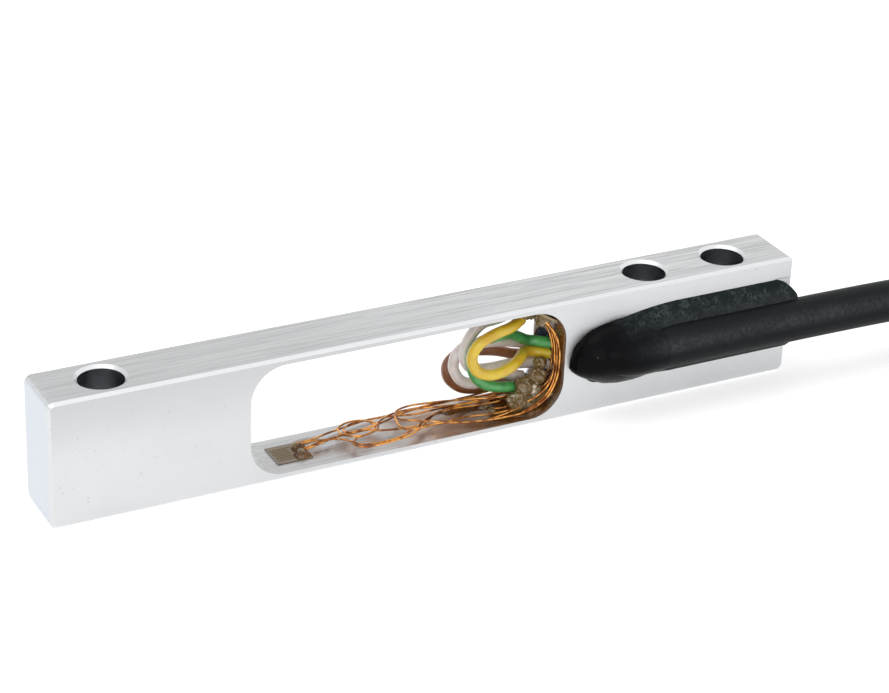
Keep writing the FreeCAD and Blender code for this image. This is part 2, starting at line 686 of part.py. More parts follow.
# Enamelled wires: the solder at each end, with how far to the side of its middle, and the route.
FINE_WIRES = {
    "gauge_wire_lower_left_1": (("lower_left", "back", 0.0), [
        (-8.35, 0.8, 4.3), (-10.15, 1.6, 3.0), (-11.85, 2.0, 2.6), (-13.45, 2.3, 2.6),
        (-14.95, 2.6, 2.6), (-16.45, 2.5, 2.6), (-18.15, 2.1, 2.6), (13.95, 1.7, 2.6),
        (11.85, 1.8, 2.6), (9.25, 1.8, 2.6), (6.85, 1.9, 2.6), (4.85, 1.8, 3.4)], ("lower", "back", -0.3)),
    "gauge_wire_lower_left_2": (("lower_left", "front", 0.0), [
        (-8.25, -0.2, 5.2), (-10.15, 0.3, 4.7), (-12.05, 0.3, 4.7), (-13.95, 0.4, 4.7),
        (-15.05, -0.3, 4.7), (-16.75, -0.7, 4.7), (-18.75, -0.9, 4.7), (12.45, -1.4, 4.7),
        (10.05, -1.0, 4.7), (8.05, -1.5, 4.7), (5.85, -1.7, 4.3)], ("lower", "front", -0.3)),
    "gauge_wire_lower_right_1": (("lower_right", "front", 0.0), [
        (5.85, -1.0, 5.2), (5.05, -1.1, 5.6)], ("lower", "front", 0.3)),
    "gauge_wire_lower_right_2": (("lower_right", "back", 0.0), [
        (5.75, 0.8, 5.2), (4.95, 0.7, 5.2)], ("lower", "middle", 0.3)),
    "gauge_wire_upper_left_1": (("upper_left", "back", 0.0), [
        (-9.25, 1.2, 97.0), (-14.25, 1.4, 97.4), (13.45, 1.5, 97.4), (8.45, 2.0, 97.4),
        (5.25, 2.2, 96.6)], ("upper", "back", -0.3)),
    "gauge_wire_upper_left_2": (("upper_left", "front", 0.0), [
        (-9.25, -1.2, 97.0), (-14.25, -1.4, 97.4), (13.45, -1.5, 97.4), (8.45, -1.8, 97.4),
        (5.45, -1.7, 96.6)], ("upper", "middle", 0.4)),
    "gauge_wire_upper_right_1": (("upper_right", "back", 0.0), [
        (5.75, 1.0, 94.0), (4.95, 1.1, 94.0)], ("upper", "back", 0.2)),
    "gauge_wire_upper_right_2": (("upper_right", "front", 0.0), [
        (5.75, -0.6, 94.0), (4.95, -0.5, 94.0)], ("upper", "middle", -0.1)),
    "bridge_wire_1": (("lower", "high_front", -0.2), [
        (1.45, -1.9, 22.4), (0.55, -2.0, 31.9), (0.35, -2.2, 45.7), (0.35, -2.3, 62.9),
        (0.75, -1.9, 75.0)], ("upper", "high_front", -0.1)),
    "bridge_wire_2": (("lower", "high_back", -0.2), [
        (0.85, -0.2, 23.3), (0.35, -1.0, 31.9), (0.3, -1.3, 44.0), (0.3, -1.2, 59.5),
        (0.55, -0.3, 73.3)], ("upper", "high_back", -0.2)),
    "bridge_wire_3": (("lower", "middle", -0.1), [
        (5.55, -0.2, 7.8), (7.85, 0.1, 6.9), (9.95, 0.5, 6.9), (12.35, 0.3, 6.9),
        (13.85, -0.8, 6.9), (-18.45, -2.0, 6.9), (-16.85, -2.7, 6.5), (-14.45, -3.0, 6.0),
        (-12.05, -2.95, 6.0), (-11.15, -2.0, 6.5), (-11.95, -1.1, 6.9), (-13.35, -0.9, 6.9),
        (-14.85, -0.4, 7.3), (-15.15, 0.8, 7.3), (-14.25, 1.9, 6.9), (-12.65, 1.7, 6.9),
        (-11.35, 0.8, 6.9), (-11.65, -0.4, 9.1), (-13.25, -0.5, 9.5), (-15.65, 0.3, 9.5),
        (-18.25, 1.2, 9.1), (12.05, 1.9, 8.6), (8.45, 1.5, 8.6), (5.65, 1.4, 7.8)], ("lower", "back", 0.2)),
    "bridge_wire_4": (("lower", "high_front", 0.3), [
        (5.25, -0.5, 12.9), (7.45, 0.5, 11.2), (10.05, 1.2, 11.2), (12.45, 1.5, 12.1),
        (-19.05, 1.7, 12.5), (-17.45, 1.3, 12.5), (-16.75, 0.1, 12.5), (-16.55, -1.2, 10.3),
        (-17.05, -2.2, 9.5), (-18.65, -2.3, 9.5), (13.05, -1.9, 9.1), (11.05, -2.4, 6.9),
        (7.45, -2.8, 5.2), (3.85, -2.8, 5.2), (1.55, -2.85, 13.8), (0.45, -2.85, 31.9),
        (0.35, -2.85, 57.8), (0.85, -2.6, 75.0)], ("upper", "high_front", 0.35)),
}


def wire_end(place):
    """Where a fine wire enters the solder of a gauge or of a board."""
    name, spot, aside = place
    if name in LUMPS:
        return lump_point(name, spot, 0.3, aside)
    return dot_point(name, spot, 0.8)


def fine_route(name):
    """The whole route of an enamelled wire, from solder to solder."""
    start, loop, end = FINE_WIRES[name]
    return [wire_end(start)] + [in_window(*place) for place in loop] + [wire_end(end)]


# ------------------------------------------------------------------ resin over the cable's end
def resin_section(x, radius, height, upper_lean, lower_lean, sag=0.0):
    """Outline of the resin across the bar: a foot on the front face under a round crown."""
    half = groove_half_width(x)
    face = size("front_face")
    middle = size("groove_middle")
    crown = size("cable_middle")

    def crown_point(angle):
        turn = math.radians(angle)
        return vector(x, face - height - radius * math.sin(turn), crown + radius * math.cos(turn))

    foot_up = vector(x, face, middle + half)
    foot_down = vector(x, face, middle - half - sag)
    start = crown_point(upper_lean)
    end = crown_point(180 - lower_lean)
    return Part.Wire([
        Part.LineSegment(foot_down, foot_up).toShape(),
        Part.LineSegment(foot_up, start).toShape(),
        Part.Arc(start, crown_point(90), end).toShape(),
        Part.LineSegment(end, foot_down).toShape(),
    ])


def make_resin(cores):
    """Black resin: fills groove and passage, domes over the jacket's end, runs along its sides."""
    face = size("front_face")
    right = size("bar_right")
    outline = Part.Wire([curve.toShape() for curve in groove_curves(
        right, lambda x, z: vector(x, face, z))])
    filling = Part.Face(outline).extrude(vector(0, size("groove_depth"), 0))

    tip = size("groove_tip")
    cover = size("jacket_end")
    stand = face - size("cable_axis")
    over = size("cable_radius") + size("resin_film")
    under = size("cable_radius") - size("resin_film")
    # Along the nose: share of the way to the jacket's end, and lean of the flanks there.
    stations = [(0.03, 40), (0.15, 38), (0.4, 32), (0.7, 24), (1.0, 14)]
    sections = []
    for share, lean in stations:
        rise = math.sin(math.pi / 2 * share ** 0.5)
        sections.append(resin_section(tip + share * (cover - tip), over * rise ** 1.2,
                                      stand * rise ** 2, lean, lean,
                                      size("resin_sag") * (1 - share ** 2)))
    start = groove_geometry()[3]
    for x in (cover + 4.0, start):
        sections.append(resin_section(x, under, stand, 2, 8))
    dome = Part.makeLoft(sections, True, False)
    ridge = Part.Face(resin_section(start, under, stand, 2, 8)).extrude(vector(right - start, 0, 0))

    plug = Part.Face(slot_outline(face)).extrude(passage_direction() * size("bar_width"))
    block = Part.makeBox(right - size("window_right"), size("bar_width"), size("bar_height"),
                         vector(size("window_right"), face, size("bar_bottom")))
    resin = fuse([filling, dome, ridge, plug.common(block)])
    jacket = Part.makeCylinder(size("cable_radius") + size("cable_gap"), 2 * size("jacket_grip"),
                               vector(cover, size("cable_axis"), size("cable_middle")),
                               vector(1, 0, 0))
    resin = resin.cut(jacket)
    radius = size("resin_corner")
    centre = vector(right + size("resin_overrun") - radius, face - radius,
                    size("groove_high") + size("core_gap") - radius)
    corner = Part.makeBox(2 * radius, 2 * radius, 2 * radius, centre)
    resin = resin.cut(corner.cut(Part.makeCylinder(radius, 2 * radius, centre, vector(0, 1, 0))))
    for core in cores:
        resin = resin.cut(core)
    return resin


def slot_outline(y):
    """The passage's outline in the front face."""
    centre = size("passage_centre")
    radius = size("passage_radius")
    low = size("passage_low")
    high = size("passage_high")
    return Part.Wire([
        Part.Arc(vector(centre + radius, y, high), vector(centre, y, high + radius),
                 vector(centre - radius, y, high)).toShape(),
        Part.LineSegment(vector(centre - radius, y, high),
                         vector(centre - radius, y, low)).toShape(),
        Part.Arc(vector(centre - radius, y, low), vector(centre, y, low - radius),
                 vector(centre + radius, y, low)).toShape(),
        Part.LineSegment(vector(centre + radius, y, low),
                         vector(centre + radius, y, high)).toShape(),
    ])


# ------------------------------------------------------------------ lacquer
def window_face(inset):
    """The window's shape in the front face, made smaller by an even margin."""
    left = size("window_left") + inset
    low = size("window_bottom") + inset
    width = size("window_right") - inset - left
    height = size("window_top") - inset - low
    block = Part.makeBox(width, size("bar_width"), height, vector(left, size("front_face"), low))
    corners = [edge for edge in block.Edges if runs_across(edge)]
    return block.makeFillet(size("window_radius") - inset, corners)


def make_lacquer(pieces):
    """A thin coat over the end wall and the beams beside it, cut round what it seals in."""
    band = window_face(0).cut(window_face(size("lacquer_thickness")))
    margin = size("lacquer_margin")
    keep = Part.makeBox(size("lacquer_reach"), size("bar_width") - 2 * margin, size("bar_height"),
                        vector(size("window_right") - size("lacquer_reach"),
                               size("front_face") + margin, 0))
    coat = band.common(keep)
    for piece in pieces:
        coat = coat.cut(piece)
    mouth = Part.Face(slot_outline(size("front_face"))).extrude(
        passage_direction() * size("bar_width"))
    coat = coat.cut(mouth)
    return max(coat.Solids, key=lambda solid: solid.Volume)


# ------------------------------------------------------------------ cable
def hank_corners(height):
    """Corners of the flat loop that the put-away cable makes, in the order that it runs."""
    left = size("hank_left")
    right = left + size("hank_length")
    back = size("cable_axis") - size("hank_shift")
    front = back - size("hank_width")
    return [(left, back, height), (right, back, height), (right, front, height),
            (left, front, height)]


def run_route():
    """From the jacket's cut end in the resin, out of the bar and down into the loop."""
    y = size("cable_axis")
    z = size("cable_middle")
    rest = size("rest_height")
    left, back, _ = hank_corners(rest)[0]
    return [(size("jacket_end") + size("core_gap"), y, z), (left - 22.0, y, z),
            (left - 8.0, y - 0.1, z - 0.3), (left + 4.0, back, rest),
            (left + size("hank_bend") + 4.0, back, rest)]


def make_hank(channels):
    """The lower turn as one closed ring, open where the run comes in."""
    bend = size("hank_bend")
    corners = [vector(*corner) for corner in hank_corners(size("rest_height"))]
    edges = []
    for index, corner in enumerate(corners):
        before = (corners[index - 1] - corner).normalize() * bend
        after = (corners[(index + 1) % 4] - corner).normalize() * bend
        middle = corner + (before + after) * (1 - math.sqrt(0.5))
        edges.append(Part.Arc(corner + before, middle, corner + after).toShape())
        onward = corners[(index + 1) % 4] - (after.normalize() * bend)
        edges.append(Part.LineSegment(corner + after.normalize() * bend, onward).toShape())
    path = Part.Wire(edges)
    start = path.Edges[0].Vertexes[0].Point
    circle = Part.Circle(start, path.Edges[0].tangentAt(0), size("cable_radius"))
    ring = path.makePipeShell([Part.Wire(circle.toShape())], True, True)
    return cut_clear(ring, channels)


def tail_route():
    """The upper turn, which lies on the ring and ends on its front run."""
    height = size("rest_height") + size("cable_diameter") + size("core_gap")
    back_left, back_right, front_right, _ = hank_corners(height)
    return [(back_left[0] + size("hank_bend"), back_left[1], height), back_right, front_right,
            (size("tail_end"), front_right[1], height)]


def make_tie():
    """A strap round both turns, with its head on the outside."""
    radius = size("cable_radius")
    gap = size("tie_gap")
    low = size("rest_height")
    high = low + size("cable_diameter") + size("core_gap")
    back = hank_corners(low)[0][1]
    strap = slot_solid(radius + gap + size("tie_thickness"), low, high)
    strap = strap.cut(slot_solid(radius + gap, low, high))
    head_size = size("tie_head")
    head = Part.makeBox(size("tie_width") + 0.8, head_size * 0.8, head_size,
                        vector(-0.4, radius + gap, (low + high - head_size) / 2))
    tie = fuse([strap, head])
    tie.translate(vector(size("tie_place"), back, 0))
    return tie


def slot_solid(radius, low, high):
    """A block with a round top and bottom, one strap wide."""
    face = Part.Face(Part.Wire([
        Part.LineSegment(vector(0, -radius, high), vector(0, -radius, low)).toShape(),
        Part.Arc(vector(0, -radius, low), vector(0, 0, low - radius),
                 vector(0, radius, low)).toShape(),
        Part.LineSegment(vector(0, radius, low), vector(0, radius, high)).toShape(),
        Part.Arc(vector(0, radius, high), vector(0, 0, high + radius),
                 vector(0, -radius, high)).toShape(),
    ]))
    return face.extrude(vector(size("tie_width"), 0, 0))


# The cores at the cable's far end: place in the jacket's section, turn and straight length.
FAR_CORES = {
    "far_core_brown": ((-0.6, 0.58), 70, 4.0),
    "far_core_clear": ((0.6, 0.58), 64, 6.0),
    "far_core_white": ((-1.19, -0.58), 58, 8.0),
    "far_core_yellow": ((0.0, -0.58), 52, 10.0),
    "far_core_green": ((1.19, -0.58), 46, 12.0),
}


def far_core_route(name):
    """A short free core that leaves the jacket and sinks to the ground inside the loop."""
    (up, side), turn, reach = FAR_CORES[name]
    angle = math.radians(turn)
    heading = vector(-math.cos(angle), math.sin(angle), 0)
    start = vector(*tail_route()[-1]) + vector(0, side, up)
    bend = start - vector(reach, 0, 0)
    over = bend + heading * 5.0 - vector(0, 0, 0.6)
    down = over + heading * 4.0
    down.z = size("core_radius") + 0.05
    end = down + heading * 3.0
    return [tuple(point) for point in (start, bend, over, down, end)]


def make_tip(route):
    """The bared, tinned end of a core."""
    last = vector(*route[-1])
    heading = (last - vector(*route[-2])).normalize()
    return Part.makeCylinder(size("tip_radius"), size("tip_length"), last, heading)


# ------------------------------------------------------------------ build
spring_body = make_spring_body()
made = [spring_body]

gap = size("core_gap")
channels = []
for name in CORES:
    made.append(add_feature(name, make_tube(core_route(name), size("core_radius"))))
    channels.append(make_tube(core_route(name), size("core_radius") + gap))
for name in FINE_WIRES:
    made.append(add_feature(name, make_tube(fine_route(name), size("fine_radius"))))
    channels.append(make_tube(fine_route(name), size("fine_radius") + gap))

made += make_gauges(channels)
for board in ("lower", "upper"):
    made.append(make_board("terminal_board_" + board, board == "upper"))
    made.append(add_feature("terminal_solder_" + board, make_lumps(board, channels)))
doc.recompute()
made.append(add_feature("cable_resin", make_resin(channels[:len(CORES)])))
sealed = [piece.Shape for piece in made
          if piece.Label.startswith(("gauge_backing", "gauge_foil", "terminal"))]
made.append(add_feature("lacquer_coat", make_lacquer(sealed)))

made.append(add_feature("cable_run", make_tube(run_route(), size("cable_radius"))))
made.append(add_feature("cable_tail", make_tube(tail_route(), size("cable_radius"))))
cable_channels = [make_tube(route, size("cable_radius") + gap)
                  for route in (run_route(), tail_route())]
made.append(add_feature("cable_coil", make_hank(cable_channels)))
made.append(add_feature("cable_tie", make_tie()))
tips = []
for name in FAR_CORES:
    made.append(add_feature(name, make_tube(far_core_route(name), size("core_radius"))))
    tips.append(make_tip(far_core_route(name)))
made.append(add_feature("far_core_tips", Part.makeCompound(tips)))

# ------------------------------------------------------------------ check and write
doc.recompute()
faults = [thing.Label for thing in doc.Objects
          if "Invalid" in thing.State or "Error" in thing.State]
faults += [piece.Label for piece in made
           if piece.Shape.isNull() or not piece.Shape.isValid()]
if faults:
    raise RuntimeError("these did not build: " + ", ".join(faults))

for name, route, radius in (
        [(name, core_route(name), size("core_radius")) for name in CORES]
        + [("cable_run", run_route(), size("cable_radius")),
           ("cable_tail", tail_route(), size("cable_radius"))]):
    path, radii = tube_path(route)
    solid = next(piece for piece in made if piece.Label == name)
    print("%s: %.1f mm long, volume %.4f of section times length, bends %s" % (
        name, path.Length, solid.Shape.Volume / (math.pi * radius ** 2 * path.Length),
        [round(bend, 2) for bend in radii]))

os.makedirs("parts", exist_ok=True)
for piece in made:
    piece.Shape.exportStep("parts/%s.step" % piece.Label)
print("wrote", len(made), "pieces")
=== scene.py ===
# %% [markdown]
# # A single point load cell
# A load cell of this kind is one bar of aluminium. A window is milled through its middle, so
# that two thin beams are left, and small foil gauges glued to those beams feel them bend.
# Coloured cores come in through the bar's side, fan out in the window and end on lumps of
# solder. The solid model gives nearly every hard shape. This lesson gives those shapes their
# finishes, adds what was poured, melted or dabbed on, lays the cable and sets up a small
# studio.

# %% Load the solid model
import math
import random
import bmesh
import bpy
from mathutils import Matrix, Vector


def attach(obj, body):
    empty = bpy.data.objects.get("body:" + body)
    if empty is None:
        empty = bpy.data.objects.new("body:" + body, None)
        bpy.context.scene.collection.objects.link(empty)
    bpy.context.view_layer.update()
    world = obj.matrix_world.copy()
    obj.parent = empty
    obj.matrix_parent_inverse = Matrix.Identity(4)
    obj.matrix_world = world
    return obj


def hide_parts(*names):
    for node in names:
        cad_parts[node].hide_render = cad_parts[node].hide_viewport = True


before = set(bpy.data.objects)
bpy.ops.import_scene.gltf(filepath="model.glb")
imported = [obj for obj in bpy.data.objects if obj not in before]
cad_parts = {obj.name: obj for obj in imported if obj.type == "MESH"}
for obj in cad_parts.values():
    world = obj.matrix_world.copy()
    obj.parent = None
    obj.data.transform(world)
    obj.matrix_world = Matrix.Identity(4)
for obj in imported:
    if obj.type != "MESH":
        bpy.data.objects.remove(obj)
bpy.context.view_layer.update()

# %% [markdown]
# ## The camera
# A long lens from about a quarter of a metre away keeps the bar's long edges nearly parallel.
# It looks down on the load end, the front and the top. The small middle angle tips the picture
# a little to one side, as a hand-held or tilted camera does. The place and the three angles
# are plain numbers, so that they are easy to read and to change.

# %% Camera
MM = 0.001
camera_data = bpy.data.cameras.new("studio_camera")
camera_data.sensor_width = 36.0
camera_data.lens = 105.26
camera_data.clip_start = 0.01
camera_data.clip_end = 20.0
camera = bpy.data.objects.new("studio_camera", camera_data)
camera.location = Vector((-106.13, -197.18, 124.50)) * MM
camera.rotation_euler = [math.radians(angle) for angle in (62.76, -2.29, -27.48)]
bpy.context.scene.collection.objects.link(camera)
bpy.context.scene.camera = camera
print("camera is", round(camera.location.length, 3), "m from the middle of the bar")

# %% [markdown]
# ## Shader sums that read like sums
# A finish is a tree of small nodes. Adding each by hand takes many lines, so one small class
# wraps a node's output. Its operators add Math nodes, and `1 - mask` works as it does with
# numbers. Every other node comes from one method, `node`, which takes the node's type, its
# settings and what goes into its sockets.

# %% One class for shader sums
class Signal:
    """One output of a shader node."""

    def __init__(self, tree, socket=None):
        self.tree = tree
        self.socket = socket

    def node(self, kind, settings=None, inputs=None, output=0):
        """Add a node, apply its settings, then fill its sockets, and return one output."""
        made = self.tree.nodes.new("ShaderNode" + kind)
        for name, value in (settings or {}).items():
            setattr(made, name, value)
        for name, value in (inputs or {}).items():
            if isinstance(value, Signal):
                self.tree.links.new(value.socket, made.inputs[name])
            else:
                made.inputs[name].default_value = value
        return Signal(self.tree, made.outputs[output])

    def maths(self, operation, first, second=0.0):
        return self.node("Math", {"operation": operation}, {0: first, 1: second})

    def __add__(self, other):
        return self.maths("ADD", self, other)

    __radd__ = __add__

    def __sub__(self, other):
        return self.maths("SUBTRACT", self, other)

    def __rsub__(self, other):
        return self.maths("SUBTRACT", other, self)

    def __mul__(self, other):
        return self.maths("MULTIPLY", self, other)

    __rmul__ = __mul__

    def __abs__(self):
        return self.maths("ABSOLUTE", self)

    def above(self, edge, soft):
        """0 below the edge, 1 above it, with a soft step of the given width."""
        return self.node("MapRange", {"interpolation_type": "SMOOTHSTEP"},
                         {"Value": self, "From Min": edge - soft / 2, "From Max": edge + soft / 2})

    def below(self, edge, soft):
        return 1 - self.above(edge, soft)


print("a Signal can be added, subtracted and multiplied")

# %% [markdown]
# ## Helpers that every finish shares
# Each finish is a Principled shader. The pattern is placed by the object's own coordinates,
# which are metres in the model's frame, so a mark of a tenth of a millimetre is the same size
# on every piece. Noise that is stretched along one direction gives brushed and milled marks.
# What varies over the surface is fed into a socket, and what doesn't is set on the socket.

# %% Helpers for finishes
def new_finish(name):
    """A new material, a point's place on it in metres, and the shader that it ends in."""
    material = bpy.data.materials.new(name)
    material.use_nodes = True
    shader = material.node_tree.nodes["Principled BSDF"]
    place = Signal(material.node_tree).node("TexCoord", output="Object")
    return material, place, shader


def feed(signal, shader, socket):
    signal.tree.links.new(signal.socket, shader.inputs[socket])


def settle(shader, values):
    """Set the sockets that are the same all over the surface."""
    for name, value in values.items():
        shader.inputs[name].default_value = value


def varnish(shader, weight, roughness):
    """A clear coat over everything else."""
    settle(shader, {"Coat Weight": weight, "Coat Roughness": roughness})


def axis_of(vector, axis):
    return vector.node("SeparateXYZ", inputs={0: vector}, output=axis)


def stretched(vector, along, across, height):
    """The same place with each direction multiplied, for marks that run one way."""
    return vector.node("VectorMath", {"operation": "MULTIPLY"},
                       {0: vector, 1: (along, across, height)})


def noise(vector, scale, detail=3.0, roughness=0.55):
    return vector.node("TexNoise", inputs={"Vector": vector, "Scale": scale, "Detail": detail,
                                           "Roughness": roughness})


def blend(factor, first, second):
    """Mix two colours."""
    return factor.node("Mix", {"data_type": "RGBA"}, {0: factor, 6: first, 7: second}, 2)


def colour(red, green, blue):
    return (red, green, blue, 1.0)


def bump(height, strength, depth):
    """Turn a height into a slope of the surface. The depth is in metres."""
    return height.node("Bump", inputs={"Height": height, "Strength": strength,
                                       "Distance": depth})


print("helpers for finishes ready")

# %% [markdown]
# ## Helpers that every new piece shares
# Most shapes come from the solid model. A few are made here, as a mesh or as a curve, and each
# of them is linked to the scene, rides on the one body and says what it is made of. A tube is a
# curve with a round section. Its thickness is its bevel depth times each point's radius. The
# depth is one metre and the radius is the tube's real one, because Blender also uses that
# radius to find how much room the curve takes up.

# %% Helpers for pieces
def mesh_from(name, work):
    """Write a finished bmesh into a new mesh."""
    mesh = bpy.data.meshes.new(name)
    work.to_mesh(mesh)
    work.free()
    return mesh


def add_piece(name, data, finish, place=(0, 0, 0)):
    """Show a mesh or a curve as a piece of the one body, in its finish."""
    data.materials.append(finish)
    piece = bpy.data.objects.new(name, data)
    piece.location = Vector(place) * MM
    bpy.context.scene.collection.objects.link(piece)
    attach(piece, "root")
    return piece


def smooth_tube(name, places, radii, order, steps, roundness, caps=True):
    """A smooth tube whose control points have these places and radii, in millimetres."""
    data = bpy.data.curves.new(name, "CURVE")
    data.dimensions = "3D"
    spline = data.splines.new("NURBS")
    spline.points.add(len(places) - 1)
    for point, place, radius in zip(spline.points, places, radii):
        point.co = [number * MM for number in place] + [1.0]
        point.radius = radius * MM
    spline.order_u = order
    spline.use_endpoint_u = True
    spline.resolution_u = steps
    data.bevel_depth = 1.0
    data.bevel_resolution = roundness
    data.use_fill_caps = caps
    return data


print("helpers for pieces ready")

# %% [markdown]
# ## Cable jacket
# The jacket is black PVC with a matte skin and a faint orange-peel texture. It isn't quite
# black, and a soft grey band of painted highlight runs along the side that faces up and forward.
# A few pale grains of dust lie on it. The tone is a function of its own, because the resin takes
# it on where it wraps the jacket.

# %% Finish of the jacket
def jacket_tone_and_highlight(place):
    """Near black, with a painted highlight: a greyer band along the side that faces up and
    forward.
    """
    height = axis_of(place.node("NewGeometry", output="Normal"), "Z")
    # Painted highlight: a greyer band on the side of the jacket that faces up and forward.
    painted_highlight_band = height.above(0.18, 0.5) * height.below(0.72, 0.5) * noise(place, 260.0, 4.0, 0.7)
    grain = noise(place, 2600.0, 3.0, 0.7).above(0.5, 0.3)
    plain = blend(noise(place, 220.0), colour(0.003, 0.004, 0.005), colour(0.008, 0.010, 0.011))
    return blend(painted_highlight_band * (0.5 + grain * 0.5), plain, colour(0.085, 0.095, 0.095))


jacket, place, shader = new_finish("black_jacket")
grain = noise(place, 1800.0, 3.0)
dust = noise(place, 3800.0, 2.0).above(0.72, 0.05)
feed(blend(dust * 0.3, jacket_tone_and_highlight(place), colour(0.08, 0.08, 0.075)), shader, "Base Color")
feed(0.40 + grain * 0.2, shader, "Roughness")
feed(bump(grain, 0.3, 0.03 * MM), shader, "Normal")
settle(shader, {"Specular IOR Level": 0.12})
print("finish:", jacket.name)

# %% [markdown]
# ## The cable
# The cable leaves the bar level, sinks to the ground under its own weight and is put away in
# a flat hank: one turn on the ground and two thirds of a second one on top of it, held by a
# tie. It is one curve with a round section. The curve is a smooth spline whose control points
# are the route of the solid cable, so that it bends as a real cable does, with no corners.
# The turns are more points of the same curve, set out round a rectangle with round corners.
# A spline cuts its corners a little, so the corner points lie a little outside the bend.

# %% Route of the cable
BAR_END = 40.0
CABLE_DIAMETER = 4.4
CABLE_Y, CABLE_Z = -4.7, 6.64
REST_Z, UPPER_Z = 2.8, 7.25
HANK_LEFT, HANK_RIGHT = 66.0, 132.0
HANK_BACK, HANK_FRONT = -5.1, -34.4
HANK_BEND = 13.2
CORNER_REACH = HANK_BEND * 1.012
CORNER_ANGLES = (11, 33, 57, 79)
CLIMB_STEPS = 5
TAIL_END = 96.0


def hank_corner(middle_x, middle_y, first_angle):
    """Four points of a quarter turn, clockwise as seen from above."""
    turns = [math.radians(first_angle - angle) for angle in CORNER_ANGLES]
    return [(middle_x + CORNER_REACH * math.cos(turn), middle_y + CORNER_REACH * math.sin(turn))
            for turn in turns]


inner_left, inner_right = HANK_LEFT + HANK_BEND, HANK_RIGHT - HANK_BEND
inner_back, inner_front = HANK_BACK - HANK_BEND, HANK_FRONT + HANK_BEND
right_end = hank_corner(inner_right, inner_back, 90) + hank_corner(inner_right, inner_front, 0)
left_end = hank_corner(inner_left, inner_front, 270) + hank_corner(inner_left, inner_back, 180)

cable_points = [(21.55, CABLE_Y, CABLE_Z), (44.0, CABLE_Y, CABLE_Z), (58.0, -4.8, 6.34),
                (70.0, HANK_BACK, REST_Z), (83.2, HANK_BACK, REST_Z), (104.0, HANK_BACK, REST_Z)]
cable_points += [(x, y, REST_Z) for x, y in right_end]
cable_points += [(110.0, HANK_FRONT, REST_Z), (88.0, HANK_FRONT, REST_Z)]
for step, (x, y) in enumerate(left_end):
    climb = min(step / CLIMB_STEPS, 1.0)
    cable_points.append((x, y, REST_Z + (UPPER_Z - REST_Z) * climb))
cable_points += [(90.0, HANK_BACK, UPPER_Z), (108.0, HANK_BACK, UPPER_Z)]
cable_points += [(x, y, UPPER_Z) for x, y in right_end]
cable_points += [(110.0, HANK_FRONT, UPPER_Z), (TAIL_END, HANK_FRONT, UPPER_Z)]
print("cable points:", len(cable_points))

# %% [markdown]
# ## The cable as a piece
# The smooth curve takes the place of the solid model's three lengths of cable, with the
# cable's real thickness. The tie and the bare cores at its far end stay as the solid model
# gives them.

# %% Cable curve
tube = smooth_tube("signal_cable", cable_points, [CABLE_DIAMETER / 2] * len(cable_points),
                   order=3, steps=8, roundness=6)
cable = add_piece("signal_cable", tube, jacket)
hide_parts("cable_run", "cable_coil", "cable_tail")

# %% [markdown]
# ## Machined aluminium
# The bar is sawn from flat stock and milled. Its long faces keep fine lines along the length,
# the end keeps the cutter's marks, the bores keep rings, and the small chamfers carry a painted
# highlight. On a metal, colour alone does little: what is seen is the white room in it, so the
# finish is mostly fine bump and uneven roughness. The first step is a set of masks: which way
# a face looks comes from its normal, and a bore is found by the distance from its axis.

# %% Masks of the bar
HOLES = (-33.7, 24.0, 33.3)
HOLE_RADIUS = 2.2
HOLE_EDGE = 0.06

metal, place, shader = new_finish("machined_aluminium")
facing = place.node("NewGeometry", output="Normal")
upward = abs(axis_of(facing, "Z"))
endward = abs(axis_of(facing, "X"))
sideward = abs(axis_of(facing, "Y"))
along = axis_of(place, "X")
height = axis_of(place, "Z")


def near_hole(place, centre_x):
    """1 inside a bore, 0 outside it."""
    east = axis_of(place, "X") - centre_x * MM
    north = axis_of(place, "Y")
    distance = place.maths("SQRT", east * east + north * north)
    return distance.below((HOLE_RADIUS + HOLE_EDGE) * MM, 0.04 * MM)


bore = near_hole(place, HOLES[0]) + near_hole(place, HOLES[1]) + near_hole(place, HOLES[2])
bore = place.maths("MINIMUM", bore, 1.0) * upward.below(0.3, 0.2)
print("masks for", len(HOLES), "bores and the faces")

# %% [markdown]
# ## Marks of the tools
# Noise that is stretched very long along the bar is the grain of the long faces. Stretched
# across, it is the cutter's track over the end, and stretched round the height, it is the
# reamer's rings. The masks choose between them, and the sum is a height for the bump.

# %% Tool marks
lines = noise(stretched(place, 90, 6500, 6500), 1.0, 4.0, 0.65)
cutter = noise(stretched(place, 900, 60, 5200), 1.0, 3.0, 0.6)
rings = noise(stretched(place, 120, 120, 5200), 1.0, 2.0, 0.6)
cloud = noise(place, 160.0, 3.0)
specks = noise(place, 2600.0, 2.0).above(0.71, 0.04)
cut_end = endward.above(0.75, 0.2)
cut_face = place.maths("MAXIMUM", cut_end, bore)
marks = lines * (1 - cut_face) + cutter * cut_end * (1 - bore) + rings * bore
print("marks: lines, cutter, rings, cloud, specks")
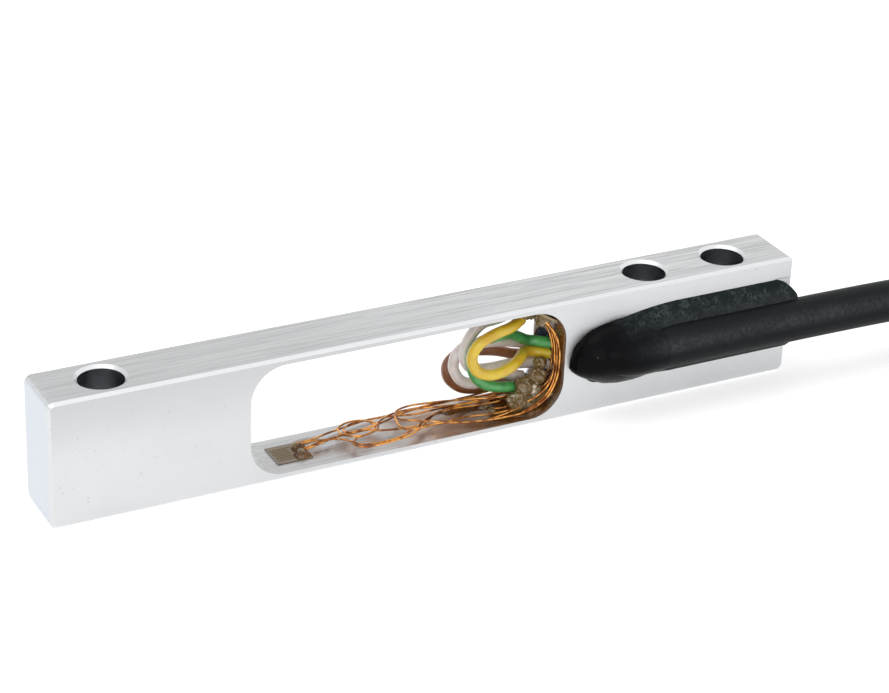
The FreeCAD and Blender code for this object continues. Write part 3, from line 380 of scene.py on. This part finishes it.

# %% [markdown]
# ## Tones of the bar
# The body colour is a pale grey that clouds a little. Over it go light and dark scratches on
# the top, a darker grey on the top that fades towards the cable end, a painted shade on the
# front near the load end, a bluer end face, painted highlights on the chamfers and cleaner
# bores. Lacquer and flux have crept over the lower beam from the solder, so the last mask
# stains its upper side brown.

# %% Colour of the bar
tone = blend(cloud, colour(0.62, 0.63, 0.64), colour(0.70, 0.71, 0.72))
tone = blend(lines.above(0.54, 0.08) * upward.above(0.8, 0.2) * 0.8, tone,
             colour(0.80, 0.80, 0.80))
tone = blend(lines.below(0.45, 0.07) * upward.above(0.8, 0.2) * 0.7, tone,
             colour(0.42, 0.42, 0.42))
# The top turns a darker grey towards the load end, and less so towards the cable end.
greyer_top_towards_load_end = 0.62 - along.above(-10.0 * MM, 60.0 * MM) * 0.34
tone = blend(upward.above(0.85, 0.1) * greyer_top_towards_load_end, tone, colour(0.44, 0.445, 0.45))
# Painted shade: the front face turns darker grey towards its top edge, near the load end.
shade = sideward.above(0.8, 0.1) * height.above(9.5 * MM, 7.0 * MM)
shade = shade * along.below(5.0 * MM, 30.0 * MM)
tone = blend(shade * 0.5, tone, colour(0.46, 0.465, 0.47))
tone = blend(endward.above(0.8, 0.2) * (1 - bore) * 0.8, tone, colour(0.60, 0.63, 0.69))
# Painted highlight: the chamfers between the top and the front are made nearly white.
edge = upward.above(0.45, 0.1) * upward.below(0.90, 0.05) * sideward.above(0.45, 0.1)
tone = blend(edge * 0.5, tone, colour(0.94, 0.95, 0.96))
tone = blend(bore * 0.7, tone, colour(0.70, 0.72, 0.74))
stain = along.above(-1.0 * MM, 18.0 * MM) * along.below(13.3 * MM, 0.3 * MM)
stain = stain * height.below(1.6 * MM, 0.3 * MM) * height.above(0.5 * MM, 0.1 * MM)
stain = stain * upward.above(0.3, 0.2)
stain = stain * noise(place, 330.0, 4.0, 0.6).above(0.40, 0.25)
tone = blend(stain * 0.75, tone, colour(0.50, 0.27, 0.12))
tone = blend(specks * 0.3, tone, colour(0.35, 0.35, 0.36))
feed(tone, shader, "Base Color")
print("shader nodes so far:", len(metal.node_tree.nodes))

# %% [markdown]
# ## Gloss of the bar
# The same lines that colour the faces also roughen them, and the bores are smoother than the
# rest. The bump is only a hundredth of a millimetre deep, which is what a mill leaves.

# %% Gloss and bump of the bar
feed(0.28 + lines * 0.14 + cloud * 0.08 - bore * 0.20, shader, "Roughness")
feed(bump(marks, 0.6, 0.012 * MM), shader, "Normal")
settle(shader, {"Metallic": 1.0})


def dress(name, finish):
    """Give a node of the solid model its finish."""
    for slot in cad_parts[name].material_slots:
        slot.material = finish


def dress_all(starts, finish):
    """Give every node whose name starts in one of these ways the same finish."""
    names = [name for name in sorted(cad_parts) if name.startswith(starts)]
    for name in names:
        dress(name, finish)
    print(finish.name, "on", len(names), "nodes")


dress_all("spring_body", metal)

# %% [markdown]
# ## Insulated cores
# Each core is a thin round of coloured plastic. One function makes all the finishes: a body
# colour, a darker shade that wanders over it as dye and handling leave it, and a smooth skin.
# The two pale ones let light in a little, which subsurface scattering gives.

# %% Finish of the cores
def core_finish(name, body, shade, spread, glow):
    """Coloured insulation: body colour, shade, how much shade shows, and how deep light goes."""
    material, place, shader = new_finish(name)
    patch = noise(place, 420.0, 4.0, 0.6).above(0.52, 0.3)
    feed(blend(patch * spread, body, shade), shader, "Base Color")
    feed(0.26 + noise(place, 1500.0) * 0.2, shader, "Roughness")
    feed(bump(noise(place, 900.0, 3.0), 0.25, 0.04 * MM), shader, "Normal")
    settle(shader, {"Subsurface Weight": glow, "Subsurface Scale": 1.0,
                    "Subsurface Radius": (0.6 * MM, 0.4 * MM, 0.3 * MM)})
    varnish(shader, 0.6, 0.12)
    return material


CORE_COLOURS = {
    # colour: body, shade, how much shade shows, how deep light goes
    "yellow": (colour(0.95, 0.68, 0.04), colour(0.66, 0.30, 0.02), 0.5, 0.15),
    "green": (colour(0.09, 0.48, 0.12), colour(0.015, 0.16, 0.06), 0.7, 0.05),
    "white": (colour(0.94, 0.88, 0.85), colour(0.72, 0.58, 0.54), 0.4, 0.5),
    "clear": (colour(0.92, 0.86, 0.83), colour(0.60, 0.48, 0.44), 0.5, 0.5),
    "brown": (colour(0.24, 0.085, 0.03), colour(0.42, 0.21, 0.10), 0.4, 0.05),
}
for name, look in CORE_COLOURS.items():
    dress_all(("core_" + name, "far_core_" + name), core_finish(name + "_core", *look))

# %% [markdown]
# ## Enamelled copper
# The fine wires are copper under a clear orange-brown varnish. A metal with a warm colour and
# a clear coat over it gives the long thin glints that such wire shows.

# %% Finish of the fine wires
enamel, place, shader = new_finish("enamelled_copper")
turn = noise(place, 900.0, 3.0)
feed(blend(turn.above(0.5, 0.25), colour(0.26, 0.07, 0.01), colour(0.90, 0.42, 0.10)), shader,
     "Base Color")
feed(0.12 + turn * 0.12, shader, "Roughness")
settle(shader, {"Metallic": 0.95})
varnish(shader, 0.4, 0.06)
dress_all(("gauge_wire", "bridge_wire"), enamel)

# %% [markdown]
# ## More strands of fine wire
# The solid model has one wire for each joint. On the real part most of them run double, and a
# few loop back over the beam before they reach the solder. These strands are thin curves that
# lie beside the modelled wires, clear of the metal under them.

# %% Extra strands
STRAND_RADIUS = 0.1
STRANDS = [
    [(-13.5, 0.5, 1.2), (-11.6, 0.4, 1.3), (-9.4, -0.6, 1.5), (-8.8, -1.7, 1.5),
     (-8.3, -2.7, 1.5), (-6.6, -2.75, 1.5), (-4.6, -2.8, 1.5), (-2.9, -2.1, 1.5),
     (-1.5, -1.3, 1.6), (0.2, -0.2, 1.6), (2.2, 0.6, 1.5), (4.6, 0.9, 1.5), (7.4, 0.4, 1.6),
     (9.4, 0.2, 1.9)],
    [(-13.4, -0.7, 1.2), (-11.2, -0.4, 1.4), (-9.2, 0.2, 1.5), (-7.2, 0.0, 1.6),
     (-5.6, 0.2, 1.6), (-4.2, 1.4, 1.5), (-2.6, 2.2, 1.4), (-0.4, 2.4, 1.3), (2.0, 2.2, 1.3),
     (4.6, 2.4, 1.3), (7.2, 2.3, 1.4), (9.6, 1.9, 1.9)],
    [(-9.1, 1.3, 1.5), (-9.4, 0.2, 1.5), (-8.8, -0.7, 1.6), (-7.4, -1.2, 1.6),
     (-6.2, -0.9, 1.6), (-5.4, 0.1, 1.6), (-5.6, 1.4, 1.6), (-6.8, 2.2, 1.5),
     (-8.2, 2.1, 1.5), (-9.1, 1.3, 1.5)],
    [(9.2, -2.2, 1.7), (7.2, -2.6, 1.4), (4.6, -2.7, 1.3), (2.2, -2.2, 1.5), (0.2, -1.3, 1.6),
     (-1.6, -0.4, 1.6), (-3.2, 0.9, 1.5), (-2.4, 1.9, 1.4), (-0.6, 2.0, 1.5),
     (1.6, 1.3, 1.6), (4.2, 0.6, 1.6), (6.8, 0.7, 1.7), (9.2, 0.6, 2.2)],
    [(9.0, -2.7, 1.3), (11.2, -2.7, 1.9), (12.6, -2.6, 3.3), (13.0, -2.55, 5.2),
     (13.0, -2.5, 7.4), (12.8, -2.2, 9.2), (12.2, -1.6, 10.2)],
    [(10.0, -2.3, 2.2), (11.8, -2.5, 2.9), (12.8, -2.4, 4.4), (13.05, -2.0, 6.6),
     (13.0, -1.7, 8.6), (12.4, -1.2, 10.1)],
]
for number, places in enumerate(STRANDS, start=1):
    name = "strand_%d" % number
    tube = smooth_tube(name, places, [STRAND_RADIUS] * len(places), order=4, steps=6,
                       roundness=2, caps=False)
    add_piece(name, tube, enamel)
print("extra strands:", len(STRANDS))

# %% [markdown]
# ## Gauges
# A gauge is an amber film of polyimide with a thin metal foil on it. The film is glued down
# under a clear varnish, which makes it shine, darkens it to olive brown and leaves it a little
# uneven. The foil is a copper-nickel alloy, greyer and redder than brass.

# %% Finishes of the gauges
film, place, shader = new_finish("gauge_film")
wet = noise(place, 900.0, 3.0)
feed(blend(wet, colour(0.05, 0.028, 0.005), colour(0.24, 0.14, 0.03)), shader, "Base Color")
feed(0.12 + wet * 0.15, shader, "Roughness")
feed(bump(wet, 0.2, 0.03 * MM), shader, "Normal")
varnish(shader, 1.0, 0.05)
dress_all("gauge_backing", film)

foil, place, shader = new_finish("gauge_foil")
etched = noise(place, 2500.0, 3.0)
feed(blend(etched, colour(0.10, 0.06, 0.018), colour(0.26, 0.17, 0.06)), shader, "Base Color")
feed(0.25 + etched * 0.2, shader, "Roughness")
settle(shader, {"Metallic": 0.5})
varnish(shader, 0.7, 0.08)
dress_all("gauge_foil", foil)

# %% [markdown]
# ## Solder under varnish
# The lumps of solder are grey metal, but flux and varnish cover them with an uneven
# olive-brown skin. A mask leaves the bare metal to show in specks, where it sparkles.

# %% Finish of the solder
solder, place, shader = new_finish("varnished_solder")
skin = noise(place, 1300.0, 4.0, 0.6).above(0.40, 0.14)
crust = noise(place, 2600.0, 4.0, 0.7)
metal_tone = blend(crust, colour(0.34, 0.30, 0.20), colour(0.74, 0.70, 0.58))
skin_tone = blend(crust, colour(0.055, 0.030, 0.006), colour(0.34, 0.21, 0.06))
feed(blend(skin, metal_tone, skin_tone), shader, "Base Color")
feed(1 - skin * 0.9, shader, "Metallic")
feed(0.16 + crust * 0.3, shader, "Roughness")
feed(bump(crust, 0.7, 0.12 * MM), shader, "Normal")
varnish(shader, 0.8, 0.08)
dress_all(("gauge_solder", "terminal_solder"), solder)

# %% [markdown]
# ## Terminal boards
# The little boards under the lumps are glass cloth in brown resin. A fine noise stands for the
# weave, which shows through the same varnish that covers everything near it.

# %% Finish of the terminal boards
board, place, shader = new_finish("terminal_board")
weave = noise(place, 2400.0, 2.0)
feed(blend(weave, colour(0.30, 0.19, 0.06), colour(0.50, 0.36, 0.14)), shader, "Base Color")
feed(0.2 + weave * 0.2, shader, "Roughness")
varnish(shader, 1.0, 0.07)
dress_all("terminal_board", board)

# %% [markdown]
# ## Lumps that have run together
# Solder that was melted onto a pad again and again isn't a neat dome. Here each lump of the
# solid model becomes a squashed ball, a voxel remesh melts the balls into one skin and a
# displacement by a cloud pattern makes that skin uneven. The balls stand square to the small
# board, which leans 32 degrees in the corner of the window. Last, the part of the skin that
# would reach through a thin beam is pressed flat inside the beam, where it can't be seen.

# %% Balls of solder
BOARD_TILT = math.radians(32)
INSIDE_LOWER_BEAM, INSIDE_UPPER_BEAM = 0.4, 12.6
LUMPS = {
    # place, radius along the board, height from the board
    "lower": [(10.59, -1.40, 1.27, 0.85, 1.55), (10.60, 0.00, 1.44, 0.90, 1.65),
              (10.76, 1.45, 1.36, 0.85, 1.35), (11.77, -0.90, 2.01, 0.90, 2.05),
              (11.86, 0.90, 2.06, 0.90, 1.40), (9.50, -1.25, 1.80, 1.00, 1.05),
              (10.30, -0.80, 3.10, 0.95, 1.05), (11.60, -1.10, 4.20, 0.75, 0.95),
              (12.20, -0.60, 5.20, 0.60, 0.75)],
    "upper": [(10.68, 1.30, 11.68, 0.85, 1.25), (10.76, -0.20, 11.63, 0.90, 1.45),
              (11.86, 0.70, 10.94, 0.85, 1.25), (11.86, -1.00, 10.94, 0.85, 1.15)],
}


def solder_balls(name, balls, side):
    """A mesh of separate squashed balls that stand square to a tilted board."""
    work = bmesh.new()
    for x, y, z, radius, height in balls:
        squash = (Matrix.Translation(Vector((x, y, z)) * MM)
                  @ Matrix.Rotation(-side * BOARD_TILT, 4, "Y")
                  @ Matrix.Diagonal((radius * MM, radius * MM, height * MM, 1.0)))
        bmesh.ops.create_icosphere(work, subdivisions=4, radius=1.0, matrix=squash)
    return mesh_from(name, work)


print("balls of solder:", sum(len(balls) for balls in LUMPS.values()))

# %% Solder lumps
clouds = bpy.data.textures.new("solder_clouds", "CLOUDS")
clouds.noise_scale = 0.85 * MM
clouds.noise_depth = 4


def melt(piece):
    """Melt a piece's balls into one uneven skin and keep it inside the two beams."""
    skin = piece.modifiers.new("skin", "REMESH")
    skin.mode = "VOXEL"
    skin.voxel_size = 0.055 * MM
    skin.use_smooth_shade = True
    ease = piece.modifiers.new("ease", "SMOOTH")
    ease.iterations = 3
    rough = piece.modifiers.new("rough", "DISPLACE")
    rough.texture = clouds
    rough.texture_coords = "GLOBAL"
    rough.strength = 0.95 * MM
    rough.mid_level = 0.45
    shape = piece.evaluated_get(bpy.context.evaluated_depsgraph_get())
    piece.data = bpy.data.meshes.new_from_object(shape)
    piece.modifiers.clear()
    for vertex in piece.data.vertices:
        vertex.co.z = min(max(vertex.co.z, INSIDE_LOWER_BEAM * MM), INSIDE_UPPER_BEAM * MM)


for level, side in (("lower", 1), ("upper", -1)):
    name = "solder_lumps_" + level
    lumps = add_piece(name, solder_balls(name, LUMPS[level], side), solder)
    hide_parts("terminal_solder_" + level)
    melt(lumps)
    print(name, "faces:", len(lumps.data.polygons))

# %% [markdown]
# ## Potting resin
# The black resin holds the cable. Where it flowed and set freely it is glossy, and fine pale
# specks on it are painted glints. Where it was wiped along the upper edge of the groove it is
# dull, grey-green and full of fine specks, so a mask by height and by distance along the bar
# changes its roughness and colour. Inside the window its cut mouth is bluish black with pale
# specks that are painted glints, and beyond the nose it takes on the jacket's tone, painted
# highlight included.

# %% Masks of the resin
resin, place, shader = new_finish("potting_resin")
along = axis_of(place, "X")
height = axis_of(place, "Z")
wander = noise(place, 350.0, 3.0) - 0.5
strip = (along + wander * 7 * MM).above(20.5 * MM, 4.0 * MM)
strip = strip * (height + wander * 2 * MM).above(9.3 * MM, 1.7 * MM)
beside = along.above(23.0 * MM, 4.0 * MM) * (1 - strip)
mouth = along.below(13.7 * MM, 0.3 * MM)
speck = noise(place, 3400.0, 3.0, 0.7)
blotch = noise(place, 700.0, 4.0, 0.65)
print("masks: strip, beside, mouth, speck, blotch")

# %% Finish of the resin
dusty = blend(speck.above(0.54, 0.3) * blotch.above(0.50, 0.3), colour(0.014, 0.020, 0.022),
              colour(0.085, 0.105, 0.108))
# Painted glints: fine pale specks on the glossy black resin.
glossy = blend(noise(place, 3000.0).above(0.74, 0.03), colour(0.003, 0.003, 0.004),
               colour(0.06, 0.06, 0.06))
# Painted glints: pale specks on the dark resin in the window's mouth.
mouth_with_glints = blend(speck.above(0.66, 0.04), colour(0.006, 0.008, 0.020), colour(0.35, 0.36, 0.38))
glossy = blend(mouth, glossy, mouth_with_glints)
glossy = blend(along.above(21.0 * MM, 7.0 * MM), glossy, jacket_tone_and_highlight(place))
feed(blend(strip, glossy, dusty), shader, "Base Color")
feed(0.24 + strip * 0.3 + beside * 0.2 + mouth * 0.3 + noise(place, 600.0) * 0.08,
     shader, "Roughness")
feed(bump(noise(place, 420.0, 2.0) + speck * strip * 0.35, 0.35, 0.12 * MM), shader, "Normal")
settle(shader, {"Specular IOR Level": 0.06})
dress_all("cable_resin", resin)

# %% [markdown]
# ## Lacquer and flux
# Three clear browns lie in the window. The amber lacquer seals its wall: it is clear, and shows
# its colour where it is thick. Flux that was left after soldering is pale and a little pink.
# Dregs of lacquer under the wires are darker. In each of them one noise sets both how much
# colour there is and how thick the layer looks, because a thick drop is also a dark one.

# %% Finishes of lacquer and flux
lacquer, place, shader = new_finish("amber_lacquer")
drop = noise(place, 380.0, 4.0, 0.6)
along = axis_of(place, "X") + (drop - 0.5) * 5 * MM
on_wall = axis_of(place, "X").above(12.6 * MM, 0.8 * MM)
patchy = noise(place, 620.0, 3.0, 0.6).above(0.50, 0.16)
cover = along.above(6.0 * MM, 6.0 * MM) * (0.25 + patchy * 0.6)
feed(blend(drop, colour(0.10, 0.035, 0.006), colour(0.36, 0.15, 0.03)), shader, "Base Color")
feed(place.maths("MAXIMUM", cover, on_wall * (0.55 + patchy * 0.35)), shader, "Alpha")
feed(0.06 + drop * 0.12, shader, "Roughness")
feed(bump(drop, 0.4, 0.1 * MM), shader, "Normal")
dress_all("lacquer_coat", lacquer)

flux, place, shader = new_finish("pale_flux")
drop = noise(place, 900.0, 3.0)
feed(blend(drop, colour(0.42, 0.30, 0.24), colour(0.70, 0.60, 0.55)), shader, "Base Color")
feed(0.55 + drop * 0.3, shader, "Alpha")
feed(0.15 + drop * 0.2, shader, "Roughness")
varnish(shader, 0.6, 0.06)

dregs, place, shader = new_finish("brown_lacquer")
drop = noise(place, 1100.0, 4.0, 0.6)
feed(blend(drop, colour(0.05, 0.017, 0.002), colour(0.30, 0.12, 0.018)), shader, "Base Color")
feed(0.55 + drop.above(0.45, 0.2) * 0.4, shader, "Alpha")
feed(0.10 + drop * 0.15, shader, "Roughness")
feed(bump(drop, 0.25, 0.08 * MM), shader, "Normal")
varnish(shader, 0.4, 0.05)
print("finishes:", flux.name, "and", dregs.name)

# %% [markdown]
# ## The cable's tie and tips
# The tie is a black nylon strap with fine ribs, which a wave pattern gives. The bare ends of
# the five far cores are copper that was dipped in tin, so they are bright and a little lumpy.

# %% Finishes of the tie and the tips
tie, place, shader = new_finish("nylon_tie")
ribs = place.node("TexWave", {"bands_direction": "Z"}, {"Vector": place, "Scale": 1100.0}, "Fac")
feed(blend(ribs, colour(0.015, 0.015, 0.016), colour(0.04, 0.04, 0.042)), shader, "Base Color")
feed(0.35 + noise(place, 1500.0) * 0.2, shader, "Roughness")
feed(bump(ribs, 0.4, 0.05 * MM), shader, "Normal")
settle(shader, {"Specular IOR Level": 0.3})
dress_all("cable_tie", tie)

tinned, place, shader = new_finish("tinned_copper")
dip = noise(place, 1600.0, 3.0)
feed(blend(dip, colour(0.55, 0.54, 0.50), colour(0.80, 0.79, 0.76)), shader, "Base Color")
feed(0.2 + dip * 0.25, shader, "Roughness")
feed(bump(dip, 0.5, 0.05 * MM), shader, "Normal")
settle(shader, {"Metallic": 1.0})
dress_all("far_core_tips", tinned)

# %% [markdown]
# ## Pools of lacquer and flux
# Lacquer was dabbed on with a brush, so it lies in flat pools: round the solder, under the
# wires and on the gauge's two joints. A pool is a fan of rings with an uneven rim. It is highest
# near its middle and runs out to nothing, as a drop on a flat surface does.

# %% Pools on the lower beam
BEAM_TOP = 0.7
ABOVE_METAL = 0.01
POOL_RINGS, POOL_SPOKES = 14, 72
RIM_WAVES, LEAST_WAVE, MOST_WAVE, WHOLE_TURN = 5, 0.02, 0.07, 6.28
POOLS = [
    # name, middle along and across, half sizes, height, finish
    ("dab_front", -13.9, -0.85, 0.9, 0.7, 0.55, dregs),
    ("dab_back", -13.6, 0.55, 0.8, 0.7, 0.60, dregs),
    ("pool_boards", 8.4, 0.2, 2.6, 2.4, 0.45, dregs),
    ("pool_front", 10.9, -2.0, 2.6, 1.0, 0.60, dregs),
    ("pool_wires", 3.6, 1.5, 1.7, 0.8, 0.25, dregs),
    ("pool_flux", 5.6, -0.6, 2.1, 0.9, 0.30, flux),
    ("pool_flux_gauge", -12.4, 1.5, 1.6, 0.6, 0.25, flux),
]


def pool_mesh(name, half_x, half_y, height, seed):
    """A flat drop with an uneven rim, about its own middle."""
    chance = random.Random(seed)
    waves = [(chance.uniform(LEAST_WAVE, MOST_WAVE), chance.uniform(0, WHOLE_TURN))
             for _ in range(RIM_WAVES)]
    work = bmesh.new()
    middle = work.verts.new((0, 0, height * MM))
    last = None
    for ring in range(1, POOL_RINGS + 1):
        share = ring / POOL_RINGS
        line = []
        for step in range(POOL_SPOKES):
            angle = 2 * math.pi * step / POOL_SPOKES
            rim = 1 + sum(size * math.sin((order + 2) * angle + shift)
                          for order, (size, shift) in enumerate(waves))
            line.append(work.verts.new((half_x * share * rim * math.cos(angle) * MM,
                                        half_y * share * rim * math.sin(angle) * MM,
                                        height * (1 - share ** 3) * MM)))
        for step in range(POOL_SPOKES):
            onward = (step + 1) % POOL_SPOKES
            if last:
                work.faces.new((last[step], line[step], line[onward], last[onward]))
            else:
                work.faces.new((middle, line[step], line[onward]))
        last = line
    mesh = mesh_from(name, work)
    mesh.shade_smooth()
    return mesh


for seed, (name, along, across, half_x, half_y, height, finish) in enumerate(POOLS):
    add_piece(name, pool_mesh(name, half_x, half_y, height, seed), finish,
              (along, across, BEAM_TOP + ABOVE_METAL))
print("pools:", len(POOLS))

# %% [markdown]
# ## The nose of the resin
# The resin over the jacket's cut end is a full, blunt nose that has slumped a little. It is
# built from cross sections. Each one is a superellipse that stands on the bar's front face: a
# power of 2 gives an ellipse, a lower one a leaner bulge. A short list of stations says how
# high the bulge is and where its two feet are. Between two stations the five sizes are mixed
# in proportion.

# %% Stations of the nose
FACE_Y = -3.25
# place along the bar, lower foot, upper foot, crown's height on the bar, bulge, power
STATIONS = [
    (14.00, 5.55, 6.30, 5.90, 0.15, 2.2), (14.30, 5.10, 7.30, 6.05, 1.05, 2.2),
    (14.80, 4.70, 8.15, 6.20, 1.70, 2.1), (15.50, 4.28, 8.85, 6.35, 2.30, 1.9),
    (16.50, 3.80, 9.40, 6.45, 2.80, 1.7), (17.60, 3.24, 9.70, 6.55, 3.16, 1.55),
    (19.00, 3.05, 9.95, 6.60, 3.46, 1.6), (20.50, 3.10, 10.05, 6.64, 3.66, 1.6),
    (21.60, 3.30, 9.80, 6.64, 3.71, 1.6), (22.60, 4.05, 9.30, 6.64, 3.68, 1.6),
    (24.00, 4.65, 8.80, 6.64, 3.62, 1.6), (25.50, 4.90, 8.50, 6.64, 3.54, 1.6),
]


def between_stations(x):
    """The five sizes of a cross section anywhere along the nose."""
    for before, after in zip(STATIONS, STATIONS[1:]):
        if x <= after[0]:
            share = (x - before[0]) / (after[0] - before[0])
            return [first + (last - first) * share for first, last in zip(before, after)][1:]
    return list(STATIONS[-1][1:])


print("stations of the nose:", len(STATIONS))

# %% [markdown]
# ## Skin of the nose
# Each row of the skin is one cross section, from the upper foot over the crown to the lower
# one. The rows crowd towards the tip, where the shape turns fastest. A smooth modifier then
# rounds off the slight corners that the stations leave.

# %% Skin of the nose
ROWS, ROUND, CROWDING = 140, 72, 1.6


def nose_section(x):
    """Points of one cross section, in millimetres."""
    low, high, crown, bulge, power = between_stations(x)
    points = []
    for step in range(ROUND + 1):
        turn = math.pi * step / ROUND
        out = bulge * math.sin(turn) ** (2 / power)
        side = abs(math.cos(turn)) ** (2 / power)
        z = crown + (high - crown) * side if turn < math.pi / 2 else crown - (crown - low) * side
        points.append((x, FACE_Y - out, z))
    return points


work = bmesh.new()
rows = []
for row in range(ROWS + 1):
    x = STATIONS[0][0] + (STATIONS[-1][0] - STATIONS[0][0]) * (row / ROWS) ** CROWDING
    rows.append([work.verts.new(Vector(point) * MM) for point in nose_section(x)])
for first, second in zip(rows, rows[1:]):
    for step in range(ROUND):
        face = work.faces.new((first[step], first[step + 1], second[step + 1], second[step]))
        face.smooth = True
nose = add_piece("resin_nose", mesh_from("resin_nose", work), resin)
ease = nose.modifiers.new("ease", "SMOOTH")
ease.iterations = 12
print("nose faces:", len(nose.data.polygons))

# %% [markdown]
# ## The groove's rounded corner
# The groove was milled with a round cutter, so its upper corner at the bar's end is round too.
# The solid groove is square there. A small web of metal fills the corner: the outline runs
# along a quarter circle and is then pulled straight back to the groove's floor.

# %% Web of metal in the groove's corner
CORNER_RADIUS, CORNER_X, CORNER_Z = 3.0, 37.4, 7.84
FLOOR_Y, EDGE_BREAK = -2.4, 0.3
ARC_STEPS, ARC_STEP = 25, 2.5

outline = []
for step in range(ARC_STEPS):
    turn = math.radians(90 - step * ARC_STEP)
    outline.append((CORNER_X + CORNER_RADIUS * math.cos(turn),
                    CORNER_Z + CORNER_RADIUS * math.sin(turn)))
outline = [(x, z) for x, z in outline if x < BAR_END]
top_z = CORNER_Z + CORNER_RADIUS

work = bmesh.new()
layers = []
for y, end in ((FACE_Y, BAR_END - EDGE_BREAK), (FACE_Y + EDGE_BREAK, BAR_END),
               (FLOOR_Y, BAR_END)):
    arc = [work.verts.new((min(x, end) * MM, y * MM, z * MM)) for x, z in outline]
    line = [work.verts.new((min(x, end) * MM, y * MM, top_z * MM)) for x, z in outline]
    layers.append((arc, line))
steps = range(len(outline) - 1)
for (arc, line), (next_arc, next_line) in zip(layers, layers[1:]):
    for step in steps:
        work.faces.new((arc[step], arc[step + 1], next_arc[step + 1], next_arc[step]))
        work.faces.new((line[step], next_line[step], next_line[step + 1], line[step + 1]))
    work.faces.new((arc[-1], line[-1], next_line[-1], next_arc[-1]))
front_arc, front_line = layers[0]
for step in steps:
    work.faces.new((front_arc[step], front_line[step], front_line[step + 1],
                    front_arc[step + 1]))
bmesh.ops.remove_doubles(work, verts=work.verts, dist=0.001 * MM)
bmesh.ops.recalc_face_normals(work, faces=work.faces)
web = add_piece("groove_corner", mesh_from("groove_corner", work), metal)
print("corner faces:", len(web.data.polygons))

# %% [markdown]
# ## A curled lip of resin
# At the bar's end the resin was cut off while it was still soft. A thin brownish lip stands up
# along its rounded corner. A short curve with a round, tapering section is enough for it.

# %% Resin lip
lip_finish, place, shader = new_finish("resin_lip")
dry = noise(place, 1500.0, 3.0)
feed(blend(dry, colour(0.03, 0.022, 0.016), colour(0.13, 0.085, 0.055)), shader, "Base Color")
feed(0.25 + dry * 0.3, shader, "Roughness")
feed(bump(dry, 0.4, 0.08 * MM), shader, "Normal")
settle(shader, {"Specular IOR Level": 0.3})

LIP_RADIUS = 0.22
LIP = [
    # place, share of the full thickness
    ((38.9, -3.30, 10.10), 0.3), ((39.4, -3.42, 9.86), 0.9), ((39.75, -3.55, 9.50), 1.0),
    ((39.95, -3.62, 9.05), 1.0), ((39.85, -3.85, 8.70), 0.7), ((39.55, -4.00, 8.62), 0.3),
]
tube = smooth_tube("resin_lip", [place for place, share in LIP],
                   [share * LIP_RADIUS for place, share in LIP], order=3, steps=12, roundness=4)
add_piece("resin_lip", tube, lip_finish)
print("lip points:", len(LIP))

# %% [markdown]
# ## A pale studio
# The floor and the world are white to the camera and to reflections, so that bare metal shows
# a clean white room. The light that falls on the object is kept plain: a broad soft lamp from
# above, a second one from the front and a mild world. The floor still catches the shadow.

# %% Rays that show the white room
def seen_directly(start):
    """1 for rays that show the white room: from the camera, in gloss and through glass."""
    rays = [start.node("LightPath", output=name)
            for name in ("Is Camera Ray", "Is Glossy Ray", "Is Transmission Ray")]
    return start.maths("MINIMUM", rays[0] + rays[1] + rays[2], 1.0)


world = bpy.data.worlds.new("studio_world")
world.use_nodes = True
background = world.node_tree.nodes["Background"]
background.inputs["Color"].default_value = colour(1.0, 1.0, 1.0)
feed(0.6 + seen_directly(Signal(world.node_tree)) * 0.4, background, "Strength")
bpy.context.scene.world = world
print("world:", world.name)

# %% [markdown]
# ## Floor and lamps
# The floor is a large plain sheet a hair below the object, so that nothing lies inside it.

# %% Floor and lamps
FLOOR_HALF = 1.5
FLOOR_DROP = 0.02

floor_mesh = bpy.data.meshes.new("studio_floor")
floor_corners = [(-FLOOR_HALF, -FLOOR_HALF, 0), (FLOOR_HALF, -FLOOR_HALF, 0),
                 (FLOOR_HALF, FLOOR_HALF, 0), (-FLOOR_HALF, FLOOR_HALF, 0)]
floor_mesh.from_pydata(floor_corners, [], [(0, 1, 2, 3)])
floor = bpy.data.objects.new("studio_floor", floor_mesh)
floor.location.z = -FLOOR_DROP * MM
bpy.context.scene.collection.objects.link(floor)

floor_finish, place, shader = new_finish("studio_floor")
settle(shader, {"Base Color": colour(0.86, 0.86, 0.86), "Roughness": 0.9,
                "Emission Color": colour(1.0, 1.0, 1.0)})
feed(seen_directly(place) * 0.5, shader, "Emission Strength")
floor_mesh.materials.append(floor_finish)


def add_lamp(name, place, size, power):
    """A square soft lamp at a place in metres, turned towards the middle of the bar."""
    data = bpy.data.lights.new(name, "AREA")
    data.size = size
    data.energy = power
    lamp = bpy.data.objects.new(name, data)
    lamp.location = place
    lamp.rotation_euler = (-Vector(place)).to_track_quat("-Z", "Y").to_euler()
    bpy.context.scene.collection.objects.link(lamp)


add_lamp("lamp_above", (-0.15, 0.10, 0.75), 0.6, 1.6)
add_lamp("lamp_front", (-0.30, -0.60, 0.35), 0.5, 0.9)
bpy.context.scene.view_settings.view_transform = "Standard"
print("studio ready")
